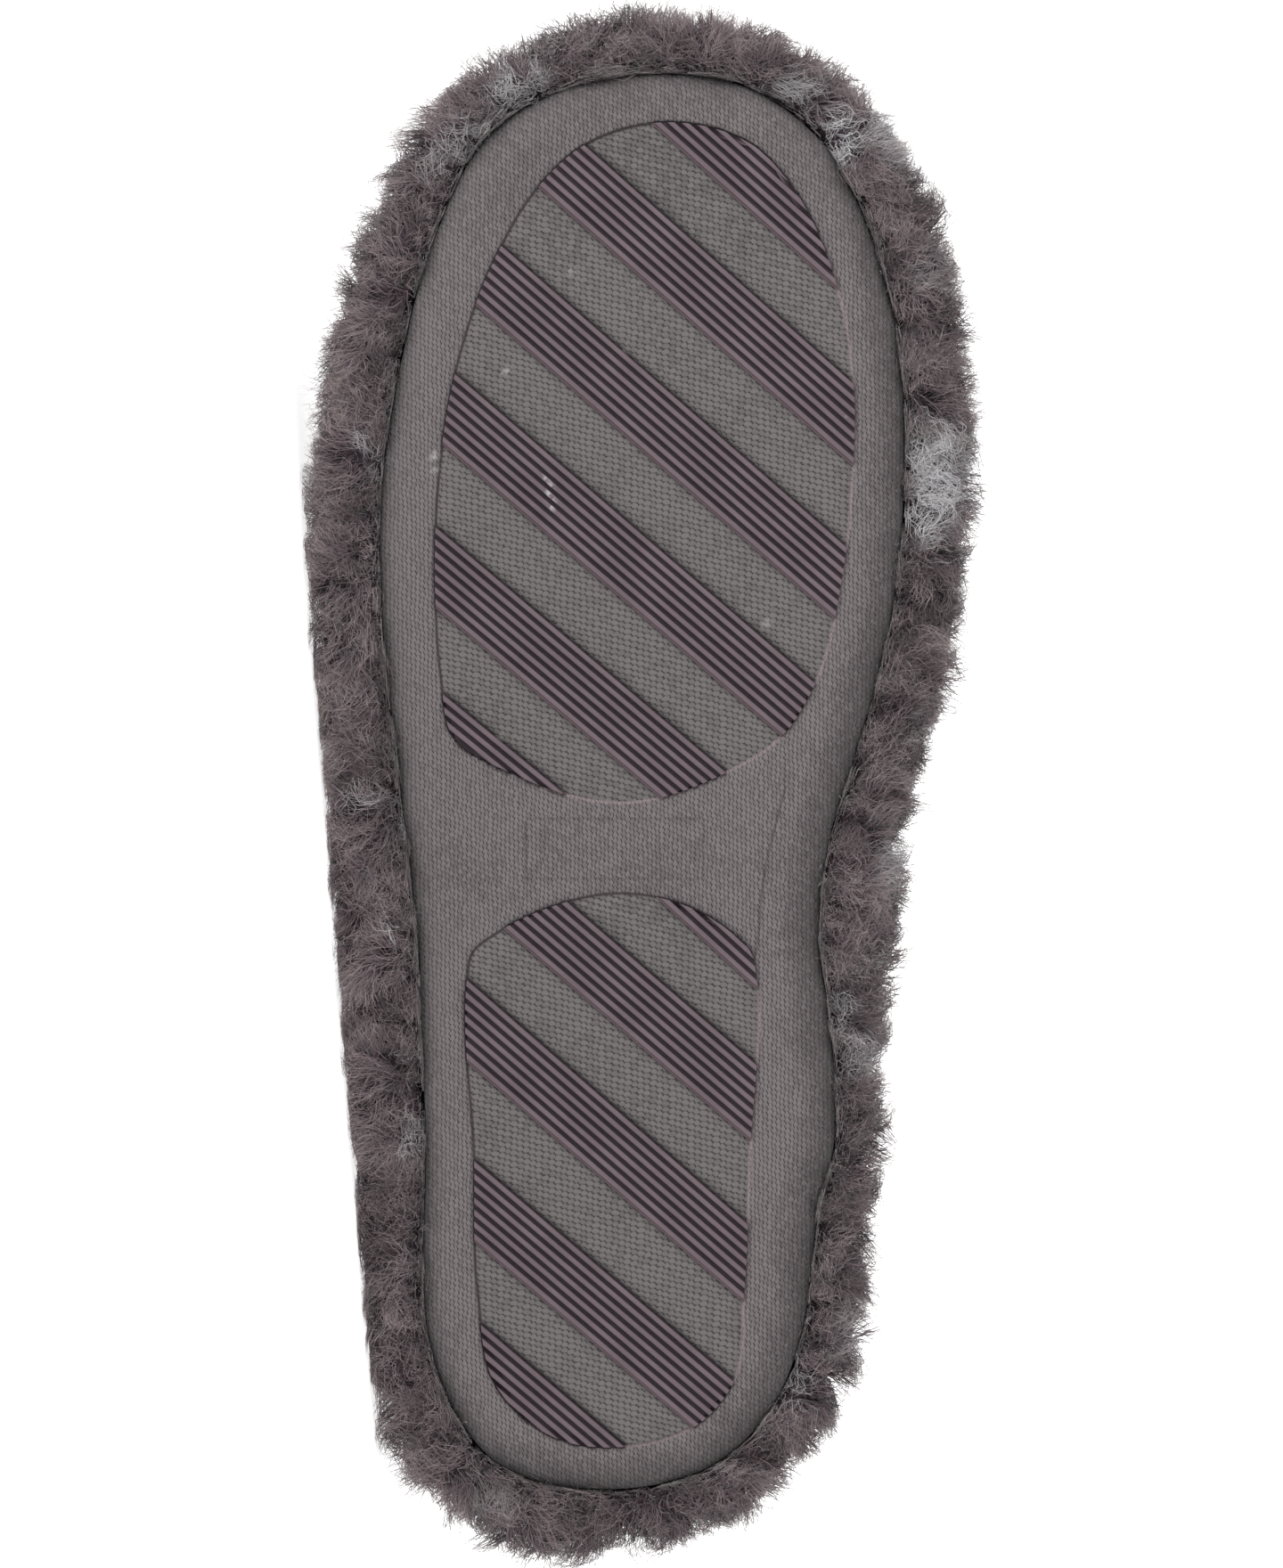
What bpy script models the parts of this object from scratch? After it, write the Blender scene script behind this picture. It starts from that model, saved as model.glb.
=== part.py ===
"""A right-foot scuff slipper: a deep pile upper on a knit-covered foam sole with rubber tread bands.

Every piece is built in the slipper's own coordinates, as if it stood on the ground: x runs from the
end of the heel towards the toe, y from the middle line towards the inner (big toe) side, and z up
from the ground. One empty then lays the whole slipper down on its outer side, with the sole facing
-Y and the toe towards -X. The tables below are in millimetres and Blender gets metres.
"""

import math
from collections import namedtuple

import bmesh
import bpy
import numpy as np
from mathutils import Matrix, Vector, noise

MM = 0.001
GAP = 0.3  # between two pieces that meet

# The sole's edge, a row for each cross-section: widths to the outer and the inner side of the
# middle line, and how far the pile stands out past the edge. The first and last rows are the tips.
Section = namedtuple("Section", "at outer inner pile_outer pile_inner", defaults=(0.0, 0.0))
SOLE = (
    Section(-0.8, 4.9, -4.9, 12.0, 12.0),
    Section(4.2, 26.7, 14.1, 12.0, 10.6),
    Section(14.2, 34.6, 23.8, 12.2, 10.8),
    Section(27.5, 38.9, 29.2, 12.6, 10.4),
    Section(43.7, 39.8, 31.5, 13.2, 9.4),
    Section(51.7, 39.6, 32.5, 14.0, 9.0),
    Section(59.8, 39.4, 34.7, 14.6, 7.8),
    Section(82.5, 40.1, 34.6, 15.6, 9.0),
    Section(100.0, 40.9, 32.4, 16.0, 13.4),
    Section(118.0, 43.0, 34.3, 15.8, 14.2),
    Section(131.0, 44.4, 38.3, 15.4, 14.0),
    Section(156.8, 47.2, 45.3, 14.6, 13.4),
    Section(181.1, 47.4, 47.8, 14.8, 13.4),
    Section(205.4, 43.7, 47.1, 14.8, 13.4),
    Section(229.6, 36.9, 41.3, 13.2, 14.4),
    Section(246.6, 27.5, 31.4, 10.4, 12.8),
    Section(255.3, 12.0, 18.5, 10.8, 11.6),
    Section(257.4, -2.0, 2.0, 11.4, 11.4),
)
FORE_PAD = (
    Section(124.3, 3.2, -3.2),
    Section(129.0, 22.0, 13.7),
    Section(137.4, 34.8, 26.4),
    Section(145.9, 36.3, 31.5),
    Section(165.0, 37.5, 36.4),
    Section(182.7, 36.9, 38.3),
    Section(200.5, 34.3, 38.5),
    Section(220.7, 27.8, 34.8),
    Section(236.9, 18.3, 27.0),
    Section(243.4, 11.3, 21.0),
    Section(248.1, -4.0, 4.0),
)
HEEL_PAD = (
    Section(7.4, 3.2, -3.2),
    Section(8.6, 14.5, 3.8),
    Section(11.5, 20.0, 10.3),
    Section(18.5, 26.4, 16.4),
    Section(35.0, 29.7, 18.6),
    Section(60.0, 30.4, 19.7),
    Section(94.0, 31.5, 20.7),
    Section(96.0, 31.2, 20.4),
    Section(101.4, 25.1, 15.5),
    Section(104.6, 18.6, 10.4),
    Section(107.9, 3.2, -3.2),
)

# A slanting tread band: where its toe-side edge crosses the middle line, and how far that edge
# falls back towards the heel for each millimetre towards the inner side.
Band = namedtuple("Band", "name at slant")
FORE_BANDS = (
    Band("tread_fore_1", 264.8, 0.900),
    Band("tread_fore_2", 234.8, 0.890),
    Band("tread_fore_3", 203.4, 0.875),
    Band("tread_fore_4", 173.2, 0.860),
    Band("tread_fore_5", 142.9, 0.845),
    Band("tread_fore_6", 114.6, 0.820),
)
HEEL_BANDS = (
    Band("tread_heel_1", 125.8, 0.880),
    Band("tread_heel_2", 94.8, 0.860),
    Band("tread_heel_3", 64.7, 0.870),
    Band("tread_heel_4", 33.6, 0.850),
    Band("tread_heel_5", 4.9, 0.850),
)
RIB_COUNT = 7
RIB_PITCH = 1.66
RIB_TOP = 0.90
RIB_FOOT = 1.10
RIB_HEIGHT = 0.9
BAND_HALF = RIB_PITCH * (RIB_COUNT - 1) / 2 + RIB_FOOT / 2
BAND_THICKNESS = 1.5
BAND_REACH = 62.0  # each way along the band from the middle line, past any pad's edge
BELOW = 3.0  # how far cutters start under the ground

# Steps round each outline
PAD_STEPS = 56
OUTSOLE_STEPS = 96
INSOLE_STEPS = 72
COVER_STEPS = 128
WELD = 0.01

# Heights up from the ground
PAD_HEIGHT = 1.1
OUTSOLE_TOP = 11.0
COVER_TOP = 24.5
HEEL_COLLAR_RISE = 3.5
HEEL_COLLAR_FROM = 84.0
HEEL_COLLAR_FULL = 40.0
COLLAR_LIFTS_FROM = 12.0
COLLAR_TUFT = 1.6  # how high locks may stand there, as a share of the collar's rise
TOE_SPRING = 4.0
SPRING_FROM = 150.0
SPRING_STEP = 15.0

# The rolled edge of the outsole, from its top edge round to the flat of the bottom
Roll = namedtuple("Roll", "inset height")
OUTSOLE_ROLL = (
    Roll(0.0, OUTSOLE_TOP),
    Roll(0.0, 7.0),
    Roll(0.7, 4.2),
    Roll(2.4, 2.1),
    Roll(5.0, 1.0),
    Roll(7.6, 0.7),
)
INSOLE_ROLL = (
    Roll(0.0, OUTSOLE_TOP + GAP),
    Roll(0.0, 20.0),
    Roll(1.0, 22.8),
    Roll(3.6, 24.0),
    Roll(9.0, 23.6),
    Roll(17.0, 22.8),
)
# The pile band round the platform: share of the pile's reach, and height
CoverRow = namedtuple("CoverRow", "reach height")
COVER_ROWS = (
    CoverRow(0.28, 3.6),
    CoverRow(0.62, 4.6),
    CoverRow(0.90, 8.6),
    CoverRow(1.00, 14.0),
    CoverRow(0.96, 19.4),
    CoverRow(0.76, 23.3),
    CoverRow(0.44, COVER_TOP),
)
COVER_FOOT = 5.6

# The upper: where its side corners and its throat are, and the ridge that runs down its middle
CORNER_AT = 86.0
THROAT_AT = 124.0
POLE_AT = 214.0
POLE_SHARE = 0.22  # of the way back from the toe, round which the ribs fan out from one pole
FULLNESS = 0.72  # 1 is an ellipse, less is squarer
Ridge = namedtuple("Ridge", "at aside height")
RIDGE = (
    Ridge(THROAT_AT, 4.0, 65.0),
    Ridge(150.0, 4.0, 62.0),
    Ridge(180.0, 3.5, 55.5),
    Ridge(POLE_AT, 2.5, 45.0),
)
PILE_ON_TOP = 9.0  # the cloth and its pile at the ridge
CORNER_FLARE = 5.5
FLARE_AT = 101.0
FLARE_WIDTH = 17.0
SEAM_REACH = 0.80  # of the pile's reach, at the seam over the platform cover
SEAM_SHARE = 1 / 6  # of the rise, over which the pile opens out from that seam
COLLAR_ROLL = 4.0
UPPER_AROUND = 84
UPPER_RISE = 14

# Locks of the pile
LOCK_SIZE = 12.0
LOCK_RISE = 4.2
LOCK_LEAN = 2.2
LOCK_SINK = 1.2
LOCK_SPREAD = 0.62  # from a lock's middle to where it meets the pile's surface, in lock sizes

# How the slipper lies: the floor touches its outer side at the ball and at the heel
REST_BALL = Vector((165.0, 62.0))
REST_HEEL = Vector((35.6, 51.6))
REST_TILT = math.radians(4.0)
FLOOR_SLOPE = (REST_BALL.y - REST_HEEL.y) / (REST_BALL.x - REST_HEEL.x)
FLOOR_LEAN = math.tan(REST_TILT)
CENTRE = Vector((129.16, 37.26))  # in the row's X and Y, from the end of the heel at the ground

PILE_COLOUR = (0.105, 0.083, 0.089)
LINING_COLOUR = (0.120, 0.096, 0.102)
KNIT_COLOUR = (0.171, 0.153, 0.156)
RUBBER_COLOUR = (0.156, 0.127, 0.141)


def clear_scene():
    for obj in list(bpy.data.objects):
        bpy.data.objects.remove(obj, do_unlink=True)


def new_collection(name):
    collection = bpy.data.collections.new(name)
    bpy.context.scene.collection.children.link(collection)
    return collection


def material(name, colour, roughness):
    made = bpy.data.materials.new(name)
    made.use_nodes = True
    shader = made.node_tree.nodes["Principled BSDF"]
    shader.inputs["Base Color"].default_value = (*colour, 1.0)
    shader.inputs["Roughness"].default_value = roughness
    shader.inputs["Metallic"].default_value = 0.0
    return made


def new_object(name, bm, collection, finish=None, parent=None):
    """A mesh object from a bmesh in millimetres."""
    bmesh.ops.recalc_face_normals(bm, faces=bm.faces)
    mesh = bpy.data.meshes.new(name)
    bmesh.ops.scale(bm, vec=(MM, MM, MM), verts=bm.verts)
    bm.to_mesh(mesh)
    bm.free()
    mesh.shade_smooth()
    mesh.set_sharp_from_angle(angle=math.radians(40))
    obj = bpy.data.objects.new(name, mesh)
    collection.objects.link(obj)
    obj.parent = parent
    if finish:
        mesh.materials.append(finish)
    return obj


# Outlines

def edge_points(sections):
    """The sections' ends in turn: the heel's tip, the outer side, the toe's tip and the inner side."""
    outer = [(row.at, -row.outer, row.pile_outer) for row in sections]
    inner = [(row.at, row.inner, row.pile_inner) for row in sections[1:-1]]
    return np.array(outer + inner[::-1])


def smooth_loop(points, between=12):
    """A closed smooth curve through the points, as rows of x, y, pile and the outward normal."""
    after = np.roll(points, -1, axis=0)
    chord = np.linalg.norm((after - points)[:, :2], axis=1)[:, None]
    slope = (after - points) / chord
    chord_before = np.roll(chord, 1, axis=0)
    tangent = (np.roll(slope, 1, axis=0) * chord + slope * chord_before) / (chord + chord_before)
    tangent_after = np.roll(tangent, -1, axis=0)
    runs = []
    for t in np.arange(between) / between:
        start = (2 * t**3 - 3 * t**2 + 1) * points + (t**3 - 2 * t**2 + t) * chord * tangent
        end = (3 * t**2 - 2 * t**3) * after + (t**3 - t**2) * chord * tangent_after
        runs.append(start + end)
    loop = np.stack(runs, axis=1).reshape(-1, points.shape[1])
    along = np.roll(loop, -1, axis=0)[:, :2] - np.roll(loop, 1, axis=0)[:, :2]
    along /= np.linalg.norm(along, axis=1)[:, None]
    return np.hstack([loop, along[:, 1:], -along[:, :1]])


def distances(loop):
    steps = np.linalg.norm(np.roll(loop, -1, axis=0)[:, :2] - loop[:, :2], axis=1)
    return np.concatenate([[0.0], np.cumsum(steps)])


def spaced(loop, count, first=0.0, last=None):
    """Rows at count even steps along the closed loop, or from first to last with both ends."""
    along = distances(loop)
    if last is None:
        wanted = along[-1] * np.arange(count) / count
    else:
        wanted = np.linspace(first, last, count)
    closed = np.vstack([loop, loop[:1]])
    return np.stack([np.interp(wanted, along, column) for column in closed.T], axis=1)


def grown(rows, by):
    """The rows' points moved out along their normals, by one distance or a distance each."""
    by = np.asarray(by, float).reshape(-1, 1)
    return rows[:, :2] + by * rows[:, 3:5]


def corner_distances(loop, at):
    """How far round the loop it passes a station on its outer side and then on its inner side."""
    along = distances(loop)
    tip = int(np.argmax(loop[:, 0]))
    outer = np.interp(at, loop[:tip, 0], along[:tip])
    inner = np.interp(-at, -loop[tip:, 0], along[tip:-1])
    return outer, inner


SOLE_EDGE = smooth_loop(edge_points(SOLE))
FORE_EDGE = smooth_loop(edge_points(FORE_PAD))
HEEL_EDGE = smooth_loop(edge_points(HEEL_PAD))


# Shapes that every piece shares

def toe_spring(x):
    past = max(0.0, (x - SPRING_FROM) / (SOLE[-1].at - SPRING_FROM))
    return TOE_SPRING * past**2


def bend_up_toe(bm, split=True):
    """Lifts the toe. Long faces are split first, so that every piece bends alike."""
    if split:
        station = SPRING_FROM
        while station < SOLE[-1].at:
            bmesh.ops.bisect_plane(
                bm,
                geom=bm.verts[:] + bm.edges[:] + bm.faces[:],
                dist=1e-5,
                plane_co=(station, 0, 0),
                plane_no=(1, 0, 0),
            )
            station += SPRING_STEP
    for vert in bm.verts:
        vert.co.z += toe_spring(vert.co.x)


def floor_side(x, z):
    """How far out to the outer side the floor is, at a station and a height."""
    return REST_HEEL.y + FLOOR_SLOPE * (x - REST_HEEL.x) - FLOOR_LEAN * z


def press_on_floor(verts):
    """Flattens the pile where the slipper lies on it."""
    for vert in verts:
        vert.co.y = max(vert.co.y, -floor_side(vert.co.x, vert.co.z))


def lock_lean(centre):
    """The way one lock leans, which differs from lock to lock."""
    phase = centre.dot(Vector((12.9, 78.2, 37.7)))
    return Vector((math.cos(phase), math.sin(1.7 * phase), math.cos(2.3 * phase + 1.0)))


def raise_locks(bm, verts, level=()):
    """Pushes the pile's surface out into leaning locks. Level verts keep their height."""
    bm.normal_update()
    moves = []
    for vert in verts:
        nearest, centres = noise.voronoi(vert.co / LOCK_SIZE)
        rise = 1.0 - nearest[0] / LOCK_SPREAD
        lean = lock_lean(centres[0]) * LOCK_LEAN * max(0.0, rise)
        move = vert.normal * (LOCK_RISE * rise - LOCK_SINK) + lean
        moves.append((vert, move))
    for vert, move in moves:
        if vert in level:
            move.z = 0.0
        vert.co += move


def add_ring(bm, points, height):
    heights = np.broadcast_to(height, len(points))
    return [bm.verts.new((x, y, z)) for (x, y), z in zip(points, heights)]


def join_rings(bm, lower, upper):
    count = len(lower)
    for i in range(count):
        j = (i + 1) % count
        bm.faces.new((lower[i], lower[j], upper[j], upper[i]))


def rolled_pad(rolls, around):
    """A flat pad of the sole's outline whose edge is rolled over: rings inward, closed by two caps."""
    bm = bmesh.new()
    rows = spaced(SOLE_EDGE, around)
    rings = [add_ring(bm, grown(rows, -roll.inset), roll.height) for roll in rolls]
    for lower, upper in zip(rings, rings[1:]):
        join_rings(bm, lower, upper)
    bm.faces.new(rings[0])
    bm.faces.new(rings[-1])
    return bm


def prism(corners, sweep):
    """A face through the corners, swept along a straight line."""
    bm = bmesh.new()
    face = bm.faces.new([bm.verts.new(corner) for corner in corners])
    swept = bmesh.ops.extrude_face_region(bm, geom=[face])["geom"]
    bmesh.ops.translate(bm, vec=sweep, verts=[v for v in swept if isinstance(v, bmesh.types.BMVert)])
    return bm


def settled(obj):
    """Applies an object's modifiers and gives its mesh back in millimetres."""
    graph = bpy.context.evaluated_depsgraph_get()
    bm = bmesh.new()
    bm.from_object(obj, graph)
    bmesh.ops.scale(bm, vec=(1 / MM, 1 / MM, 1 / MM), verts=bm.verts)
    return bm


def boolean(obj, operation, cutter):
    modifier = obj.modifiers.new(operation.lower(), "BOOLEAN")
    modifier.operation = operation
    modifier.solver = "EXACT"
    modifier.object = cutter


def cutter_object(name, bm, cutters):
    obj = new_object(name, bm, cutters)
    obj.hide_render = True
    obj.display_type = "WIRE"
    return obj


# Tread bands

def comb_profile():
    """Across a band and up: ribs that hang from a strip."""
    corners = []
    for rib in range(RIB_COUNT):
        middle = RIB_PITCH * (rib - (RIB_COUNT - 1) / 2)
        corners += [
            (middle - RIB_FOOT / 2, RIB_HEIGHT),
            (middle - RIB_TOP / 2, 0.0),
            (middle + RIB_TOP / 2, 0.0),
            (middle + RIB_FOOT / 2, RIB_HEIGHT),
        ]
    return [(-BAND_HALF, BAND_THICKNESS)] + corners[1:-1] + [(BAND_HALF, BAND_THICKNESS)]


def channel_profile():
    """The plain box that a band's channel takes, a gap wider and deeper than the band."""
    side, top = BAND_HALF + GAP, BAND_THICKNESS + GAP
    return [(-side, top), (-side, -BELOW), (side, -BELOW), (side, top)]


def band_strip(band, profile):
    """A profile swept the whole length of a band's line, before the pad's edge trims it."""
    along = Vector((-band.slant, 1.0, 0.0)).normalized()
    across = Vector((along.y, -along.x, 0.0))
    start = Vector((band.at, 0.0, 0.0)) - across * BAND_HALF - along * BAND_REACH
    corners = [start + across * side + Vector((0, 0, z)) for side, z in profile]
    return prism(corners, along * 2 * BAND_REACH)


def pad_prism(edge, margin, top):
    """A pad's outline, grown by a margin, from below the ground up to a height."""
    outline = grown(spaced(edge, PAD_STEPS), margin)
    return prism([(x, y, -2 * BELOW) for x, y in outline], (0, 0, top + 2 * BELOW))


def tread_band(band, edge, parts, cutters, finish, root):
    """One rubber band, trimmed where the pad ends."""
    strip = cutter_object("strip", band_strip(band, comb_profile()), cutters)
    pad = cutter_object("pad", pad_prism(edge, 0.0, 2 * BAND_THICKNESS), cutters)
    boolean(strip, "INTERSECT", pad)
    bm = settled(strip)
    bmesh.ops.remove_doubles(bm, verts=bm.verts, dist=WELD)
    bend_up_toe(bm)
    bpy.data.objects.remove(strip)
    bpy.data.objects.remove(pad)
    new_object(band.name, bm, parts, finish, root)


# The outsole, with a sunk pad under the forefoot and the heel and a channel for each band

def outsole(parts, cutters, finish, root):
    body = cutter_object("blank", rolled_pad(OUTSOLE_ROLL, OUTSOLE_STEPS), cutters)
    tools = []
    for edge, bands in ((FORE_EDGE, FORE_BANDS), (HEEL_EDGE, HEEL_BANDS)):
        tools.append(cutter_object("pad", pad_prism(edge, 0.0, PAD_HEIGHT), cutters))
        boolean(body, "DIFFERENCE", tools[-1])
        for band in bands:
            channel = cutter_object("channel", band_strip(band, channel_profile()), cutters)
            reach = cutter_object("reach", pad_prism(edge, GAP, 3 * BAND_THICKNESS), cutters)
            boolean(channel, "INTERSECT", reach)
            boolean(body, "DIFFERENCE", channel)
            tools += [channel, reach]
    bm = settled(body)
    bmesh.ops.remove_doubles(bm, verts=bm.verts, dist=WELD)
    bend_up_toe(bm)
    for obj in (body, *tools):
        bpy.data.objects.remove(obj)
    new_object("outsole", bm, parts, finish, root)


def insole(parts, finish, root):
    """The padded footbed, which lies on the outsole inside the platform cover."""
    bm = rolled_pad(INSOLE_ROLL, INSOLE_STEPS)
    bend_up_toe(bm)
    new_object("insole", bm, parts, finish, root)


def heel_collar(x):
    """How far the pile stands up round the bare heel."""
    share = min(1.0, max(0.0, (HEEL_COLLAR_FROM - x) / (HEEL_COLLAR_FROM - HEEL_COLLAR_FULL)))
    return HEEL_COLLAR_RISE * share * share * (3 - 2 * share)


def platform_cover(parts, finish, root):
    """The pile band round the platform, from the outsole's seam up to the footbed."""
    bm = bmesh.new()
    rows = spaced(SOLE_EDGE, COVER_STEPS)
    collar = np.array([heel_collar(x) for x in rows[:, 0]])
    rings = [add_ring(bm, grown(rows, GAP), COVER_FOOT)]
    for row in COVER_ROWS:
        lift = collar * max(0.0, (row.height - COLLAR_LIFTS_FROM) / (COVER_TOP - COLLAR_LIFTS_FROM))
        rings.append(add_ring(bm, grown(rows, row.reach * rows[:, 2]), row.height + lift))
    rings.append(add_ring(bm, grown(rows, GAP), COVER_TOP))
    for lower, upper in zip(rings, rings[1:] + rings[:1]):
        join_rings(bm, lower, upper)
    bmesh.ops.recalc_face_normals(bm, faces=bm.faces)
    raise_locks(bm, [vert for ring in rings[1:-2] for vert in ring])
    for vert in bm.verts:
        vert.co.z = min(vert.co.z, COVER_TOP + heel_collar(vert.co.x) * COLLAR_TUFT)
    bend_up_toe(bm, split=False)
    press_on_floor(bm.verts)
    new_object("platform_cover", bm, parts, finish, root)


# The upper: one hollow shell, open at the back and underneath

def ridge_point(share_back, lift):
    """A point on the ridge, from the pole near the toe back to the throat."""
    back = max(0.0, (share_back - POLE_SHARE) / (1 - POLE_SHARE))
    x = POLE_AT + (THROAT_AT - POLE_AT) * back
    stations = [row.at for row in RIDGE]
    y = np.interp(x, stations, [row.aside for row in RIDGE])
    z = np.interp(x, stations, [row.height for row in RIDGE])
    return Vector((x, y, z + lift))


def shell(bm, around, rise, reach, lift):
    """One side of the upper's wall: ribs that rise from the sole's edge to the ridge.

    reach gives how far outside the edge a rib's foot is, and lift how far above the ridge it ends.
    """
    rows = spaced(SOLE_EDGE, around + 1, *corner_distances(SOLE_EDGE, CORNER_AT))
    foot_height = COVER_TOP + GAP
    grid = []
    crown = {}
    for i, row in enumerate(rows):
        share_back = abs(2 * i / around - 1)
        top = ridge_point(share_back, lift)
        rib = []
        for j in range(rise):
            angle = math.pi / 2 * j / rise
            inward = 1 - math.cos(angle) ** FULLNESS
            upward = math.sin(angle) ** FULLNESS
            forward = inward + (upward - inward) * share_back**2
            foot = row[:2] + row[3:5] * reach(row, j / rise)
            x = foot[0] + (top.x - foot[0]) * forward
            y = foot[1] + (top.y - foot[1]) * inward
            z = foot_height + (top.z - foot_height) * upward
            rib.append(bm.verts.new((x, y, z)))
        place = tuple(round(value, 6) for value in top)
        if place not in crown:
            crown[place] = bm.verts.new(top)
        rib.append(crown[place])
        grid.append(rib)
    for rib, after in zip(grid, grid[1:]):
        for j in range(rise):
            corners = [rib[j], after[j], after[j + 1], rib[j + 1]]
            bm.faces.new(dict.fromkeys(corners))
    return grid


def around_mouth(grid):
    """The top line from the outer corner over the throat to the inner corner."""
    return grid[0] + grid[-1][-2::-1]


def along_foot(grid):
    return [rib[0] for rib in grid]


def join_to_coarser(bm, fine, coarse):
    """A strip between an edge and one with half as many steps."""
    for k in range(len(coarse) - 1):
        a, b, c = fine[2 * k : 2 * k + 3]
        for corners in ((coarse[k], a, b), (coarse[k], b, coarse[k + 1]), (coarse[k + 1], b, c)):
            bm.faces.new(corners)


def outer_reach(row, share_up):
    """The pile's reach on the upper's outside: drawn in at the seam and flared at the back corners."""
    flare = CORNER_FLARE * math.exp(-(((row[0] - FLARE_AT) / FLARE_WIDTH) ** 2)) if row[1] > 0 else 0.0
    seam = SEAM_REACH + (1 - SEAM_REACH) * min(1.0, share_up / SEAM_SHARE)
    return (row[2] + flare) * seam


def upper(parts, finish, root):
    bm = bmesh.new()
    outside = shell(bm, UPPER_AROUND, UPPER_RISE, outer_reach, PILE_ON_TOP)
    inside = shell(bm, UPPER_AROUND // 2, UPPER_RISE // 2, lambda row, share_up: GAP, 0.0)
    outer_rim, inner_rim = around_mouth(outside), around_mouth(inside)
    rolled = []
    for k, vert in enumerate(outer_rim):
        lining = (inner_rim[k // 2].co + inner_rim[(k + 1) // 2].co) / 2
        middle = (vert.co + lining) / 2
        middle.x -= COLLAR_ROLL
        rolled.append(bm.verts.new(middle))
    for k in range(len(rolled) - 1):
        bm.faces.new((outer_rim[k], outer_rim[k + 1], rolled[k + 1], rolled[k]))
    join_to_coarser(bm, rolled, inner_rim)
    join_to_coarser(bm, along_foot(outside), along_foot(inside))
    for end in (0, -1):
        bm.faces.new((outer_rim[end], rolled[end], inner_rim[end]))
    bmesh.ops.recalc_face_normals(bm, faces=bm.faces)
    pile = list(dict.fromkeys(vert for rib in outside for vert in rib))
    level = set(along_foot(outside))
    raise_locks(bm, pile, level)
    for vert in pile:
        vert.co.z = max(vert.co.z, COVER_TOP + GAP)
    bend_up_toe(bm, split=False)
    press_on_floor(bm.verts)
    new_object("upper", bm, parts, finish, root)


# Laying the slipper down

def resting_matrix():
    """Turns the slipper onto its outer side, so that its floor plane is level and at zero."""
    up = Vector((FLOOR_SLOPE, 1.0, -FLOOR_LEAN)).normalized()
    toe = Vector((1.0, 0.0, 0.0))
    heelward = -(toe - up * toe.dot(up)).normalized()
    instep = up.cross(heelward)
    turn = Matrix((heelward, instep, up))
    touching = Vector((REST_HEEL.x, -floor_side(REST_HEEL.x, 0.0), 0.0))
    shift = Vector((CENTRE.x, -CENTRE.y, -(turn @ touching).z)) * MM
    return Matrix.Translation(shift) @ turn.to_4x4()


def build():
    clear_scene()
    parts = new_collection("scuff_slipper")
    cutters = new_collection("cutters")
    root = bpy.data.objects.new("slipper", None)
    parts.objects.link(root)
    knit = material("sole_knit", KNIT_COLOUR, 0.95)
    rubber = material("tread_rubber", RUBBER_COLOUR, 0.6)
    pile = material("upper_pile", PILE_COLOUR, 1.0)
    side_pile = material("platform_pile", PILE_COLOUR, 1.0)
    lining = material("footbed_pile", LINING_COLOUR, 1.0)
    for edge, bands in ((FORE_EDGE, FORE_BANDS), (HEEL_EDGE, HEEL_BANDS)):
        for band in bands:
            tread_band(band, edge, parts, cutters, rubber, root)
    outsole(parts, cutters, knit, root)
    platform_cover(parts, side_pile, root)
    insole(parts, lining, root)
    upper(parts, pile, root)
    root.matrix_world = resting_matrix()


build()
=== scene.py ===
import math
from collections import namedtuple

import bpy
import bmesh
import numpy as np
from mathutils import Matrix, Vector
from mathutils.kdtree import KDTree


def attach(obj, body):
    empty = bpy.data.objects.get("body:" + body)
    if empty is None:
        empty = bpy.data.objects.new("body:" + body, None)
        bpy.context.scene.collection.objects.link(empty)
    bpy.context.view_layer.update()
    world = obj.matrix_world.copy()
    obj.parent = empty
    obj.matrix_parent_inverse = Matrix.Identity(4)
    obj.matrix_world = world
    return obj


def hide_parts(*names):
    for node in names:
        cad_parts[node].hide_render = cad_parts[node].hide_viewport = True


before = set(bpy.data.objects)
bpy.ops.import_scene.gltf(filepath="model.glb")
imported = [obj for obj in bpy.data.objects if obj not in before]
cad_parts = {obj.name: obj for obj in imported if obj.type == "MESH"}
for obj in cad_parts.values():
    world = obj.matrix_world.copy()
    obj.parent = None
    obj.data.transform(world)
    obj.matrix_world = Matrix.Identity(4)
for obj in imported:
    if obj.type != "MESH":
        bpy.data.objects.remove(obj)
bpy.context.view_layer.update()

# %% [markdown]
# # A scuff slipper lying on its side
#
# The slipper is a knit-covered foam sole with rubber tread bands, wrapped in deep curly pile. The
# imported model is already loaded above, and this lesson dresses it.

MM = 0.001

# %% [markdown]
# ## The slipper's own coordinates
#
# A shoemaker measures a slipper standing on the ground: x from the end of the heel to the toe, y
# towards the big toe's side, and z up. Here the slipper lies on its outer side, so one turn carries
# every point from those coordinates into the room. Working in the shoe's own sizes keeps each table
# readable, and the turn is done once, when a mesh is made.

# %% Laying the slipper down
REST_BALL = (165.0, 62.0)
REST_HEEL = (35.6, 51.6)
FLOOR_LEAN = math.tan(math.radians(4.0))
FLOOR_SLOPE = (REST_BALL[1] - REST_HEEL[1]) / (REST_BALL[0] - REST_HEEL[0])
CENTRE = (129.16, -37.26)

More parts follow.
